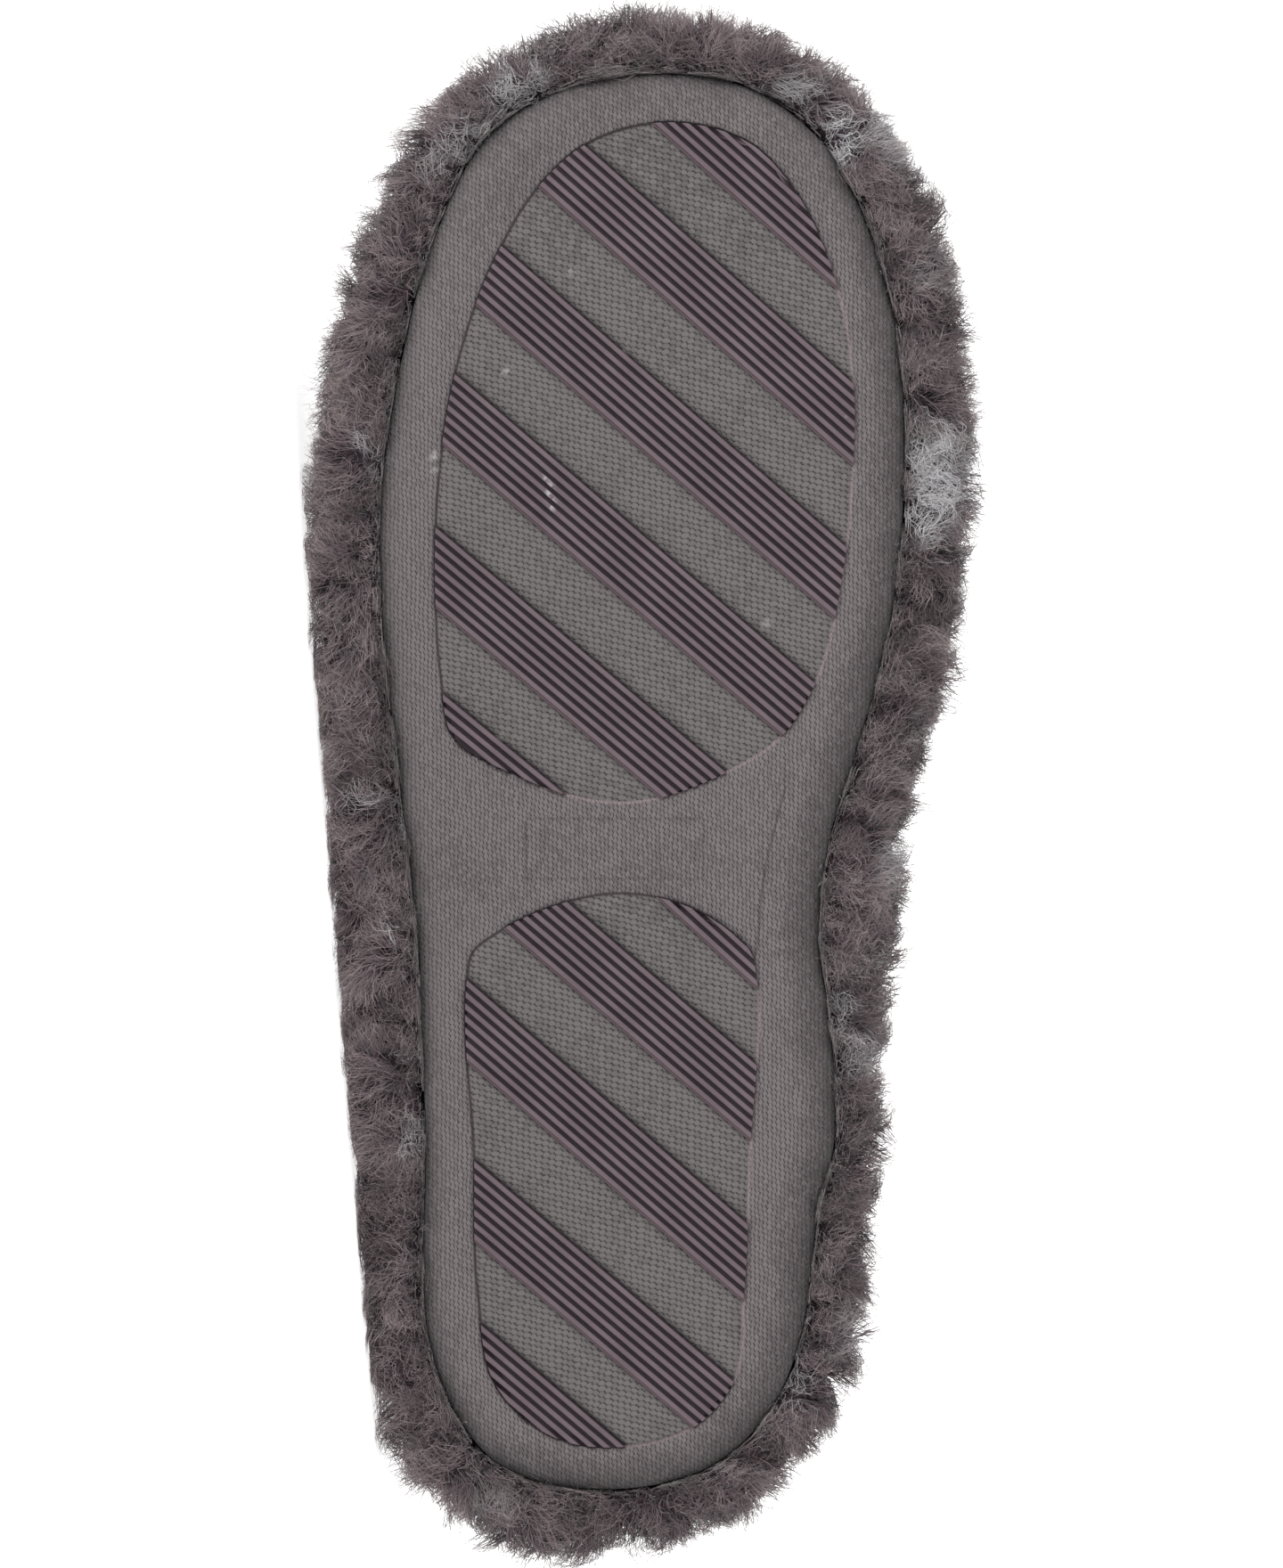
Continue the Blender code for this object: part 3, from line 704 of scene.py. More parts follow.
# Shadow lines where the cloth is pressed in, and a lit line on the pads' other side
lit_side = knit.read("lit_side")
pad_edge = knit.ramp(size_of("pad_gap"), 0.42, 0.08)
shade = pad_edge * knit.ramp(lit_side, 0.0, 1.0, 0.80, 0.0)
for gap, fades_at, full_at, strength in (
    (knit.read("toe_edge"), 0.75, 0.15, 0.80),
    (knit.read("heel_edge"), 0.60, 0.10, 0.30),
    (size_of("label_gap"), 0.45, 0.08, 0.16),
    (knit.read("label_left"), 0.45, 0.08, 0.45),
    (size_of("seam_gap"), 0.45, 0.10, 0.42),
):
    shade = knit.math("MAXIMUM", shade, knit.ramp(gap, fades_at, full_at, 0.0, strength))
colour = knit.mix(shade, colour, SHADOW_LINE)
# Painted highlight: a light line along the pads' outline on the side towards the light
colour = knit.mix(pad_edge * knit.ramp(lit_side, 0.3, 1.0, 0.0, 0.5), colour, LIT_EDGE_HIGHLIGHT)
colour = knit.mix(knit.read("mark"), colour, RUB_COLOUR)
fine_height = knit.mix(fine, BLACK, WHITE)
stitch_height = knit.mix(in_pad, fine_height, knit.mix(coarse, BLACK, (0.8, 0.8, 0.8)))
press = knit.bump(knit.ramp(size_of("label_gap"), 0.45, 0.05), -0.00010)
stitch_bump = knit.bump(stitch_height, 0.00030, 0.8, press)
knit_finish = knit.finished(colour, stitch_bump, 0.94, 0.12, sheen=0.15)

# %% Places in the picture
PICTURE_HEEL_ROW = 1670
PICTURE_MIDDLE_COLUMN = 720


def from_picture(at_x, at_y):
    """A place in pixels from the picture's left and top, as the shoe's x and y."""
    return (PICTURE_HEEL_ROW - at_y) * MM_PER_PIXEL, (at_x - PICTURE_MIDDLE_COLUMN) * MM_PER_PIXEL


# Pale rubs and a crumb of lint
Mark = namedtuple("Mark", "at_x at_y size strength")
KNIT_MARKS = [Mark(*row) for row in (
    (487, 512, 1.0, 0.5), (488, 528, 0.9, 0.35), (568, 416, 0.9, 0.4), (700, 395, 0.8, 0.25),
    (640, 305, 0.8, 0.2), (860, 700, 1.2, 0.2), (742, 1150, 1.1, 0.35), (560, 830, 1.3, 0.2),
)]

# %% The sole, ready
SEAM_LINE = ((97.0, 20.9), (107.5, 21.8), (113.0, 22.5), (120.0, 24.2), (128.0, 26.4))
LABEL_LOW = np.array([110.4, -21.0])
LABEL_HIGH = np.array([121.3, 11.3])
WAIST = 112.0
BETWEEN_PADS = 116.0
TOE_DIMMER, WAIST_DIMMER = 0.48, 0.36
FAR_OFF = 9.0

flat_now = knit_points[:, :2]
along_x, side_y = flat_now.T
label_out = np.maximum(LABEL_LOW - flat_now, flat_now - LABEL_HIGH)
label_gap = np.where(
    (label_out < 0).all(axis=1),
    label_out.max(axis=1),
    np.hypot(*np.clip(label_out, 0, None).T),
)
seam_at = np.interp(along_x, *np.array(SEAM_LINE).T)


def on_whole_sole(values, beyond=FAR_OFF):
    """Values of the flat part, with one number for the wall above it."""
    return np.concatenate([values, np.full(len(knit_points) - len(knit_flat), beyond)])


def rightward(middle, half_size):
    """How far towards the picture's lower right each point lies in a shape: -1 to 1 or so."""
    return ((side_y - middle[1]) / half_size[1] - (along_x - middle[0]) / half_size[0]) / math.sqrt(2)


in_field = np.where(pad_gap < 0.2, band_gap, FAR_OFF)
by_pad = np.where(
    along_x > BETWEEN_PADS,
    rightward((186.0, 0.0), (62.0, 37.0)),
    rightward((57.0, -5.0), (50.0, 25.0)),
)
# Painted shade near the rolled edge, most on the side away from the light, and a darkening towards the toe
# and at the waist
dimmer = TOE_DIMMER * smoothstep(205.0, 240.0, along_x)
dimmer = dimmer + WAIST_DIMMER * np.exp(-(((along_x - WAIST) / 14.0) ** 2))
away_side = smoothstep(-0.7, 0.5, rightward((128.0, 0.0), (129.0, 42.0)))
near_edge = smoothstep(9.0 * away_side + 3.0, 0.0, -on_whole_sole(edge_gap, 0.0))
marks = np.zeros(len(flat_now))
for mark in KNIT_MARKS:
    away = np.linalg.norm(flat_now - from_picture(mark.at_x, mark.at_y), axis=1) / mark.size
    marks = np.maximum(marks, mark.strength * smoothstep(1.0, 0.3, away))
knit_values = {
    "pad_gap": on_whole_sole(pad_gap),
    "toe_edge": on_whole_sole(np.where(on_toe_side, in_field, FAR_OFF)),
    "heel_edge": on_whole_sole(np.where(on_toe_side, FAR_OFF, in_field)),
    "label_gap": label_gap,
    "label_left": np.where(label_out[:, 0] < 0.3, np.abs(side_y - LABEL_LOW[1]), FAR_OFF),
    "lit_side": smoothstep(-0.10, 0.45, by_pad),
    "painted_shade_and_dimming": np.maximum(near_edge * (0.40 + 0.60 * away_side), dimmer),
    "seam_gap": np.where(np.abs(along_x - WAIST) < 15.5, side_y - seam_at, FAR_OFF),
    "mark": marks,
}
knit_sole = shaped_piece("knit_sole", knit_points, knit_faces, knit_values, knit_finish)
faced_outward(knit_sole)
placed_piece(knit_sole, "sole_knit", "outsole")

# %% [markdown]
# ## The rubber bands
#
# Each band is one moulded strip with seven ribs, trimmed where the sunk pad ends. A section of the
# ribs is drawn once and swept along the band's line. Every line of the sweep ends where it meets
# the pad's outline, which gives the neat staggered ends of the real ribs without any cutting. The
# heel-side edge has a thin lip that overlaps the cloth, and the toe-side edge drops straight into a
# dark gap.

# %% Rib sections and sweep
RIB_SECTION = (
    (-0.55, 0.90), (-0.50, 0.52), (-0.45, 0.22), (-0.37, 0.06), (-0.24, 0.0),
    (0.24, 0.0), (0.37, 0.06), (0.45, 0.22), (0.50, 0.52), (0.55, 0.90),
)
BAND_BACK = 1.5
BAND_LENGTH_STEPS = 22
SCUFFED_BAND_STEPS = 70
SHORTEST_RIB = 2.0
LIP_REACH = 0.28


def band_section():
    """Across a band from its heel side, and up. 0 is the toe-side edge."""
    lip = -BAND_WIDTH - LIP_REACH
    corners = [(lip, BAND_BACK), (lip, 1.02), (-BAND_WIDTH - 0.05, 0.86)]
    for rib in range(RIB_COUNT):
        middle = -BAND_WIDTH + RIB_FOOT / 2 + RIB_PITCH * rib
        corners += [(middle + across, height) for across, height in RIB_SECTION]
    return corners + [(0.0, BAND_BACK)]


def crossing_span(start, along, outline):
    """Where a line enters and leaves an outline, as distances along it, or None."""
    a = outline[:, :2] - start
    b = np.roll(a, -1, axis=0)
    side_a = a[:, 0] * along[1] - a[:, 1] * along[0]
    side_b = b[:, 0] * along[1] - b[:, 1] * along[0]
    hits = np.nonzero((side_a > 0) != (side_b > 0))[0]
    if len(hits) < 2:
        return None
    share = side_a[hits] / (side_a[hits] - side_b[hits])
    where = (a[hits] + share[:, None] * (b[hits] - a[hits])) @ along
    return where.min(), where.max()


# A whitish scrape across three ribs, as points of the sole
SCUFF = ((183.6, -17.2), (180.9, -16.7), (178.0, -16.2))


def near_line(points, line):
    """Distance of flat points to a line of a few points."""
    nearest = np.full(len(points), 1e9)
    for start, end in zip(np.array(line), np.array(line)[1:]):
        way = end - start
        share = np.clip((points - start) @ way / (way @ way), 0, 1)[:, None]
        nearest = np.minimum(nearest, np.linalg.norm(points - start - share * way, axis=1))
    return nearest


# %% Sweeping one band
def rubber_band(band, outline, finish):
    along, across = band_axes(band)
    origin = np.array([band.at, 0.0])
    section = band_section()
    pad_middle = across_band(outline[:, :2].mean(axis=0), band)
    scuffed = -BAND_WIDTH < across_band(np.array(SCUFF[1]), band) < 0
    steps = (SCUFFED_BAND_STEPS if scuffed else BAND_LENGTH_STEPS) + 1
    lines = []
    for offset, height in section:
        span = crossing_span(origin + across * offset, along, outline)
        while span is None or span[1] - span[0] < SHORTEST_RIB:
            offset += math.copysign(0.02, pad_middle - offset)
            span = crossing_span(origin + across * offset, along, outline)
        line = origin + across * offset + np.linspace(*span, steps)[:, None] * along
        lines.append(np.column_stack([line, np.full(steps, height)]))
    points = np.array(lines).reshape(-1, 3)
    points[:, 2] += toe_spring(points[:, 0])
    number = np.arange(len(points)).reshape(len(section), steps)
    faces = []
    for near, far in zip(number, np.roll(number, -1, axis=0)):
        faces += np.column_stack([near[:-1], far[:-1], far[1:], near[1:]]).tolist()
    faces += [number[::-1, 0].tolist(), number[:, -1].tolist()]
    values = {
        "depth": np.repeat([height for _, height in section], steps),
        "across": np.repeat([offset for offset, _ in section], steps),
        "scuff": 0.8 * smoothstep(1.0, 0.2, near_line(points[:, :2], SCUFF)),
    }
    obj = shaped_piece(band.name + "_ribs", points, faces, values, finish)
    obj.data.set_sharp_from_angle(angle=math.radians(50))
    return placed_piece(obj, "tread_rubber", band.name)


# %% Rubber's finish
RIB_TOP_COLOUR = (0.124, 0.094, 0.107)
RIB_EDGE_COLOUR = (0.128, 0.092, 0.102)
GROOVE_SHADE_COLOUR = (0.034, 0.023, 0.029)
WORN_COLOUR = (0.42, 0.40, 0.40)

rubber = Pattern("matt_rubber")
place = rubber.read("in_shoe", "Vector")
depth = rubber.read("depth")
cloudy = rubber.ramp(rubber.noise(place, 130.0, 3.0), 0.3, 0.7)
colour = rubber.mix(cloudy, RIB_TOP_COLOUR, tuple(c * 0.86 for c in RIB_TOP_COLOUR))
lip = rubber.ramp(rubber.read("across"), -BAND_WIDTH + 0.30, -BAND_WIDTH + 0.02)
colour = rubber.mix(lip, colour, RIB_EDGE_COLOUR)
# Painted shade: the rubber gets darker the deeper it lies between the ribs
colour = rubber.mix(rubber.ramp(depth, 0.12, 0.62) * (1.0 - lip), colour, GROOVE_SHADE_COLOUR)
# Whitish rubs where the ribs have touched the ground, and the scrape
rubbed = rubber.ramp(rubber.noise(place, 260.0, 4.0, 0.7), 0.66, 0.78, 0.0, 0.22)
rubbed = rubbed * rubber.ramp(depth, 0.10, 0.0)
scuff = rubber.read("scuff") * rubber.ramp(rubber.noise(place, 900.0), 0.35, 0.55)
rubbed = rubber.math("MAXIMUM", rubbed, scuff * rubber.ramp(depth, 0.45, 0.1))
colour = rubber.mix(rubbed, colour, WORN_COLOUR)
moulded = rubber.bump(rubber.noise(place, 2600.0), 0.00006, 0.5)
rubber_finish = rubber.finished(colour, moulded, rubber.ramp(cloudy, 0.0, 1.0, 0.62, 0.74), 0.25)

for outline, bands in ((FORE_EDGE, FORE_BANDS), (HEEL_EDGE, HEEL_BANDS)):
    for band in bands:
        rubber_band(band, outline, rubber_finish)

# %% [markdown]
# ## The cloth under the pile
#
# Deep pile is a knitted backing with fibres standing up from it. The backing is drawn first, a few
# millimetres inside the finished surface: a band round the platform, and one shell for the upper
# that goes over its rim into the lining. It is dark, because little light gets down between the
# fibres, and gently lumpy, so that the fibres on it fall into tufts.

# %% Slow drifts of a value over a surface
def drift(points, size, seed, waves=9):
    """A smooth random value from about -1 to 1 that changes over this many millimetres."""
    random = np.random.RandomState(seed)
    total = np.zeros(len(points))
    for _ in range(waves):
        way = random.normal(size=3)
        way *= 2 * math.pi * random.uniform(0.6, 1.4) / (size * np.linalg.norm(way))
        total += np.sin(points @ way + random.uniform(0, 2 * math.pi))
    return total / math.sqrt(waves / 2) / 1.6


# %% Faces and normals
def numbered(grid):
    """The numbers of a grid's points, as a table."""
    return np.arange(grid.shape[0] * grid.shape[1]).reshape(grid.shape[:2])


def quads_of(numbers):
    """Faces between neighbouring rows of a table of point numbers."""
    lower, above = numbers[:-1], numbers[1:]
    corners = [lower[:, :-1], lower[:, 1:], above[:, 1:], above[:, :-1]]
    return np.stack(corners, axis=-1).reshape(-1, 4)


def closed_quads(numbers):
    """Faces between neighbouring rings of a table of point numbers."""
    return quads_of(np.hstack([numbers, numbers[:, :1]]))


def point_normals(points, faces):
    """Unit normals at the points of a mesh of quads."""
    a, b, c, d = (points[faces[:, k]] for k in range(4))
    normal = np.cross(c - a, d - b)
    total = np.zeros_like(points)
    for k in range(4):
        np.add.at(total, faces[:, k], normal)
    return total / np.maximum(np.linalg.norm(total, axis=1), 1e-9)[:, None]


def facing(points, faces, wanted, among=slice(None)):
    """Faces and normals, turned round if most of the normals point away from the wanted way."""
    normals = point_normals(points, faces)
    if (normals * wanted)[among].sum() < 0:
        return faces[:, ::-1], -normals
    return faces, normals


# %% Keeping off the floor
def floor_side(x, z):
    return REST_HEEL[1] + FLOOR_SLOPE * (x - REST_HEEL[0]) - FLOOR_LEAN * z


def kept_off_floor(points, above=0.2):
    low = above - floor_side(points[..., 0], points[..., 2])
    points[..., 1] = np.maximum(points[..., 1], low)
    return points


def pressed_softly(points, soft=1.6, above=0.1):
    """Fibres near the floor, pressed together instead of cut off at it."""
    gap = points[..., 1] + floor_side(points[..., 0], points[..., 2])
    pressed = above + (soft - above) * np.exp(np.minimum(gap - soft, 0) / (soft - above))
    points[..., 1] += np.where(gap < soft, pressed - gap, 0.0)
    return points


# %% Backing round the platform
COVER_TOP = 24.5
COVER_AROUND = 380
COVER_UP = 26
# Millimetres out from the edge, share of the pile's reach, and height: a fin sewn in between the
# outsole and the footbed, then the seam at the outsole, and round the outside up to the footbed
COVER_FIN = ((-3.0, 0.0, 11.15), (0.3, 0.0, 11.15))
COVER_BACKING = (
    (0.3, 0.0, 7.0), (0.3, 0.02, 5.6), (0.3, 0.13, 5.0), (0.3, 0.36, 5.8), (0.3, 0.54, 8.8),
    (0.3, 0.63, 13.6), (0.3, 0.60, 18.4), (0.3, 0.48, 22.0), (0.3, 0.26, 23.8), (0.3, 0.02, 24.2),
)
COVER_INSIDE = ((0.3, 0.0, 23.4), (0.3, 0.0, 11.28), (-3.0, 0.0, 11.28))
COLLAR_RISE = 3.5
COLLAR_FROM, COLLAR_FULL = 84.0, 40.0
COLLAR_FOOT = 12.0


def heel_collar(x):
    return COLLAR_RISE * smoothstep(COLLAR_FROM, COLLAR_FULL, x)


def eased(table, count):
    """A table's rows spread to this many, with rounded corners."""
    table = np.array(table)
    at = np.linspace(0, len(table) - 1, count)
    spread = np.stack([np.interp(at, np.arange(len(table)), column) for column in table.T], axis=1)
    for _ in range(3):
        spread[1:-1] = (spread[:-2] + 2 * spread[1:-1] + spread[2:]) / 4
    return spread


# %% The platform's backing, drawn
cover_rows = paired_rows(COVER_AROUND // 2)
cover_section = np.vstack([COVER_FIN, eased(COVER_BACKING, COVER_UP), COVER_INSIDE])
to_waist = 0.08 + 0.20 * smoothstep(135.0, 105.0, cover_rows[:, 0])
fuller = 1 + smoothstep(0.0, -20.0, cover_rows[:, 1]) * to_waist
cover_grid = []
for beyond, reach, height in cover_section:
    lift = max((height - COLLAR_FOOT) / (COVER_TOP - COLLAR_FOOT), 0) * heel_collar(cover_rows[:, 0])
    ring = grown(cover_rows, beyond + reach * fuller * cover_rows[:, 2])
    cover_grid.append(np.column_stack([ring, height + lift]))
cover_grid = np.array(cover_grid)
cover_points = cover_grid.reshape(-1, 3)
cover_numbers = numbered(cover_grid)
ring_out = np.column_stack([cover_rows[:, 3:5], np.zeros(len(cover_rows))])
cover_out = np.tile(ring_out, (len(cover_section), 1))
middle_row = slice(COVER_UP // 2 * COVER_AROUND, (COVER_UP // 2 + 1) * COVER_AROUND)
cover_faces, cover_normals = facing(cover_points, closed_quads(cover_numbers), cover_out, middle_row)
furry = np.repeat(np.arange(len(cover_section)), COVER_AROUND)
furry = ((furry > 1) & (furry < len(cover_section) - 3)).astype(float)
fur_faces = cover_faces[furry[cover_faces].min(axis=1) > 0]
cover_points = cover_points + cover_normals * (1.1 * drift(cover_points, 9.0, 3) * furry)[:, None]
cover_points[:, 2] += toe_spring(cover_points[:, 0])
cover_points = kept_off_floor(cover_points, 1.0)
print("backing round the platform:", len(cover_faces), "faces")

# %% Backing and lining of the upper
CORNER_AT, THROAT_AT, POLE_AT, POLE_SHARE = 86.0, 124.0, 214.0, 0.22
FULLNESS = 0.72
Ridge = namedtuple("Ridge", "at aside height")
RIDGE = (
    Ridge(THROAT_AT, 4.0, 65.0),
    Ridge(150.0, 4.0, 62.0),
    Ridge(180.0, 3.5, 55.5),
    Ridge(POLE_AT, 2.5, 45.0),
)
CORNER_FLARE, FLARE_AT, FLARE_WIDTH = 5.5, 101.0, 17.0
UPPER_AROUND = 220
UPPER_RISE = 30
BACKING_REACH = 0.52
BACKING_LIFT = 3.6
UPPER_FOOT = COVER_TOP + 0.4


def corner_distances(loop, at):
    along = distances(loop)
    tip = int(np.argmax(loop[:, 0]))
    outer = np.interp(at, loop[:tip, 0], along[:tip])
    inner = np.interp(-at, -loop[tip:, 0], along[tip:-1])
    return outer, inner


def shell_grid(reach_share, reach_gap, lift):
    """Ribs of the upper from its foot to the ridge, as rows of points."""
    ribs = spaced(SOLE_EDGE, UPPER_AROUND + 1, *corner_distances(SOLE_EDGE, CORNER_AT))
    share_back = np.abs(2 * np.arange(UPPER_AROUND + 1) / UPPER_AROUND - 1)
    back = np.clip((share_back - POLE_SHARE) / (1 - POLE_SHARE), 0, None)
    top_x = POLE_AT + (THROAT_AT - POLE_AT) * back
    stations, aside, heights = np.array(RIDGE).T
    top_y = np.interp(top_x, stations, aside)
    top_z = np.interp(top_x, stations, heights) + lift
    flare = CORNER_FLARE * np.exp(-(((ribs[:, 0] - FLARE_AT) / FLARE_WIDTH) ** 2))
    flare = np.where(ribs[:, 1] > 0, flare, 0)
    foot = grown(ribs, reach_gap + reach_share * (ribs[:, 2] + flare))
    grid = []
    for angle in np.linspace(0, math.pi / 2, UPPER_RISE + 1):
        inward = 1 - max(math.cos(angle), 0.0) ** FULLNESS
        upward = math.sin(angle) ** FULLNESS
        forward = inward + (upward - inward) * share_back**2
        grid.append(np.column_stack([
            foot[:, 0] + (top_x - foot[:, 0]) * forward,
            foot[:, 1] + (top_y - foot[:, 1]) * inward,
            UPPER_FOOT + (top_z - UPPER_FOOT) * upward,
        ]))
    return np.array(grid), ribs


# %% The upper's two layers
backing_grid, upper_ribs = shell_grid(BACKING_REACH, 0.3, BACKING_LIFT)
lining_grid, _ = shell_grid(0.0, 0.4, 0.4)
backing_points = backing_grid.reshape(-1, 3)
lining_points = lining_grid.reshape(-1, 3)
numbers = numbered(backing_grid)
up = np.array([0.0, 0.0, 1.0])
backing_faces, backing_normals = facing(backing_points, quads_of(numbers), up)
lump = 0.9 * drift(backing_points, 14.0, 5)
backing_points = backing_points + backing_normals * lump[:, None]
backing_points[:, 2] = np.maximum(backing_points[:, 2], UPPER_FOOT)
# The lining faces the foot
lining_faces = facing(lining_points, quads_of(numbers), up)[0][:, ::-1] + len(backing_points)


# %% The upper's rim
def mouth_line(grid):
    """The rim's points, from the outer corner over the throat to the inner corner."""
    return np.concatenate([grid[:, 0], grid[-2::-1, -1]])


def rim_roll(outer_line, inner_line, first, count=5):
    """Rows of points that carry the pile over the rim into the lining, and their numbers."""
    rows, rolled = [outer_line], []
    outside = np.vstack([backing_points, lining_points])[outer_line]
    inside = np.vstack([backing_points, lining_points])[inner_line]
    for k in range(1, count):
        share = k / count
        middle = outside * (1 - share) + inside * share
        middle[:, 0] -= 3.4 * math.sin(math.pi * share)
        rolled.append(middle)
        rows.append(np.arange(first + (k - 1) * len(middle), first + k * len(middle)))
    rows.append(inner_line)
    return np.vstack(rolled), np.array(rows)


outer_line = mouth_line(numbers)
inner_line = outer_line + len(backing_points)
first_rolled = len(backing_points) + len(lining_points)
roll_points, roll_numbers = rim_roll(outer_line, inner_line, first_rolled)
foot_numbers = np.array([numbers[0], numbers[0] + len(backing_points)])
upper_points = np.vstack([backing_points, lining_points, roll_points])
upper_faces = [backing_faces, lining_faces, quads_of(roll_numbers), quads_of(foot_numbers)]
upper_faces = np.vstack(upper_faces)
upper_points[:, 2] += toe_spring(upper_points[:, 0])
backing_points = kept_off_floor(upper_points[: len(backing_points)], 1.5)
print("upper's backing and lining:", len(upper_faces), "faces")

# %% Finish of the backing
PILE_ROOT = (0.050, 0.034, 0.043)
PILE_DARK = (0.078, 0.058, 0.067)
PILE_MIDDLE = (0.148, 0.112, 0.125)
PILE_TIP = (0.385, 0.318, 0.310)
SEAM_SHADE_COLOUR = (0.030, 0.021, 0.026)
PALE_ROOT = (0.20, 0.19, 0.195)
PALE_TIP = (0.56, 0.55, 0.56)

backing = Pattern("pile_backing")
place = backing.read("in_shoe", "Vector")
nap = backing.noise(place, 700.0, 4.0, 0.65)
tufts = backing.noise(place, 190.0, 3.0, 0.6)
colour = backing.mix(backing.ramp(tufts, 0.35, 0.65), PILE_ROOT, PILE_DARK)
colour = backing.mix(backing.ramp(nap, 0.45, 0.75), colour, PILE_MIDDLE)
# Painted shade on the backing next to the sole's edge
colour = backing.mix(backing.read("seam_shade"), colour, SEAM_SHADE_COLOUR)
rough = backing.bump(nap, 0.0009, 0.9, backing.bump(tufts, 0.0025, 0.8))
backing_finish = backing.finished(colour, rough, 1.0, 0.0)

short = Pattern("short_pile")
place = short.read("in_shoe", "Vector")
nap = short.noise(place, 900.0, 4.0, 0.7)
curls = short.noise(place, 260.0, 3.0, 0.6)
colour = short.mix(short.ramp(curls, 0.3, 0.7), PILE_DARK, PILE_MIDDLE)
colour = short.mix(short.ramp(nap, 0.5, 0.8, 0.0, 0.6), colour, PILE_TIP)
rough = short.bump(nap, 0.0008, 0.9, short.bump(curls, 0.0022, 0.8))
lining_finish = short.finished(colour, rough, 1.0, 0.0, sheen=0.25, sheen_roughness=0.6)

# %% Backing and lining, ready
closing = closed_quads(cover_numbers[[-1, 0]])
# Painted shade: the backing is darkened close to the sole's edge and low down
seam_shade = smoothstep(2.6, 0.9, outline_gap(cover_points[:, :2], SOLE_EDGE[::3]))
seam_shade = seam_shade * smoothstep(16.0, 11.0, cover_points[:, 2] - toe_spring(cover_points[:, 0]))
cover_backing = shaped_piece(
    "platform_backing",
    cover_points,
    cover_faces.tolist() + closing.tolist(),
    {"seam_shade": seam_shade},
    backing_finish,
)
faced_outward(cover_backing)
placed_piece(cover_backing, "platform_pile", "platform_cover")
upper_cloth = shaped_piece("upper_backing", upper_points, upper_faces.tolist(), {}, backing_finish)
upper_cloth.data.materials.append(lining_finish)
lined = np.zeros(len(upper_faces), np.int32)
lined[len(backing_faces):len(backing_faces) + len(lining_faces)] = 1
upper_cloth.data.polygons.foreach_set("material_index", lined)
faced_outward(upper_cloth)
placed_piece(upper_cloth, "upper_pile", "upper")

# %% [markdown]
# ## The footbed
#
# The footbed is a foam pad under a sock of short pile, rolled over at its edge and a little crowned.
# Rings from its lower edge over the roll to the middle give that shape.

# %% Footbed
FOOTBED_AROUND = 260
FOOTBED_GAP = 0.15
FOOTBED_ROLL = (
    (0.0, 11.4), (0.0, 15.0), (0.0, 19.6), (0.35, 21.4), (1.2, 22.9), (2.4, 23.7), (4.2, 24.0),
    (7.0, 23.8), (10.0, 23.4),
)
# Share of the way from the last ring to the middle line, and height
FOOTBED_MIDDLE = ((0.2, 23.1), (0.4, 22.9), (0.6, 22.8), (0.8, 22.7), (0.98, 22.7))
footbed_rows = paired_rows(FOOTBED_AROUND // 2)
footbed_grid = [
    np.column_stack([grown(footbed_rows, -FOOTBED_GAP - inset), np.full(len(footbed_rows), height)])
    for inset, height in FOOTBED_ROLL
]
last_ring = footbed_grid[-1][:, :2]
middle_line = (last_ring + np.roll(last_ring[::-1], 1, axis=0)) / 2
for share, height in FOOTBED_MIDDLE:
    ring = last_ring + (middle_line - last_ring) * share
    footbed_grid.append(np.column_stack([ring, np.full(len(ring), height)]))
footbed_grid = np.array(footbed_grid)
footbed_points = footbed_grid.reshape(-1, 3)
footbed_numbers = numbered(footbed_grid)
footbed_faces = closed_quads(footbed_numbers)
footbed_lump = 0.35 * drift(footbed_points, 9.0, 8) * (footbed_points[:, 2] > 21.0)
footbed_points[:, 2] += footbed_lump + toe_spring(footbed_points[:, 0])
faces = footbed_faces.tolist() + [footbed_numbers[-1].tolist(), footbed_numbers[0][::-1].tolist()]
footbed = shaped_piece("footbed_sock", footbed_points, faces, {}, lining_finish)
faced_outward(footbed)
placed_piece(footbed, "footbed_pile", "insole")

# %% [markdown]
# ## The pile
#
# Each fibre is a narrow tapering ribbon of mesh, which renders as quickly as any mesh. Blender's hair
# would look alike here, but wouldn't reach the exported model. What makes it look like curly pile is
# how fibres keep together: every fibre leans towards its tuft's middle, neighbouring tufts lean
# different ways, and a tuft's fibres curl in step. Fibres are set closest on the parts that the
# picture shows.

# %% Scattering roots
Roots = namedtuple("Roots", "point normal out room")


def scattered(points, normals, out, faces, weight, count, seed):
    """Random places on a mesh of quads, more of them where the weight is higher."""
    random = np.random.RandomState(seed)
    triangles = np.vstack([faces[:, [0, 1, 2]], faces[:, [0, 2, 3]]])
    a, b, c = (points[triangles[:, k]] for k in range(3))
    area = np.linalg.norm(np.cross(b - a, c - a), axis=1) / 2
    chance = area * weight[triangles].mean(axis=1)
    wanted = random.random_sample(count)
    chosen = triangles[np.searchsorted(np.cumsum(chance) / chance.sum(), wanted)]
    u, v = random.random_sample((2, count, 1))
    over = (u + v) > 1
    u, v = np.where(over, 1 - u, u), np.where(over, 1 - v, v)

    def blended(values):
        return values[chosen[:, 0]] * (1 - u - v) + values[chosen[:, 1]] * u + values[chosen[:, 2]] * v

    normal = blended(normals)
    normal /= np.linalg.norm(normal, axis=1)[:, None]
    point = blended(points)
    room = outline_gap(point[:, :2], SOLE_EDGE[::3])
    return Roots(point, normal, blended(out), room)


def unit(vectors):
    return vectors / np.maximum(np.linalg.norm(vectors, axis=-1), 1e-9)[..., None]


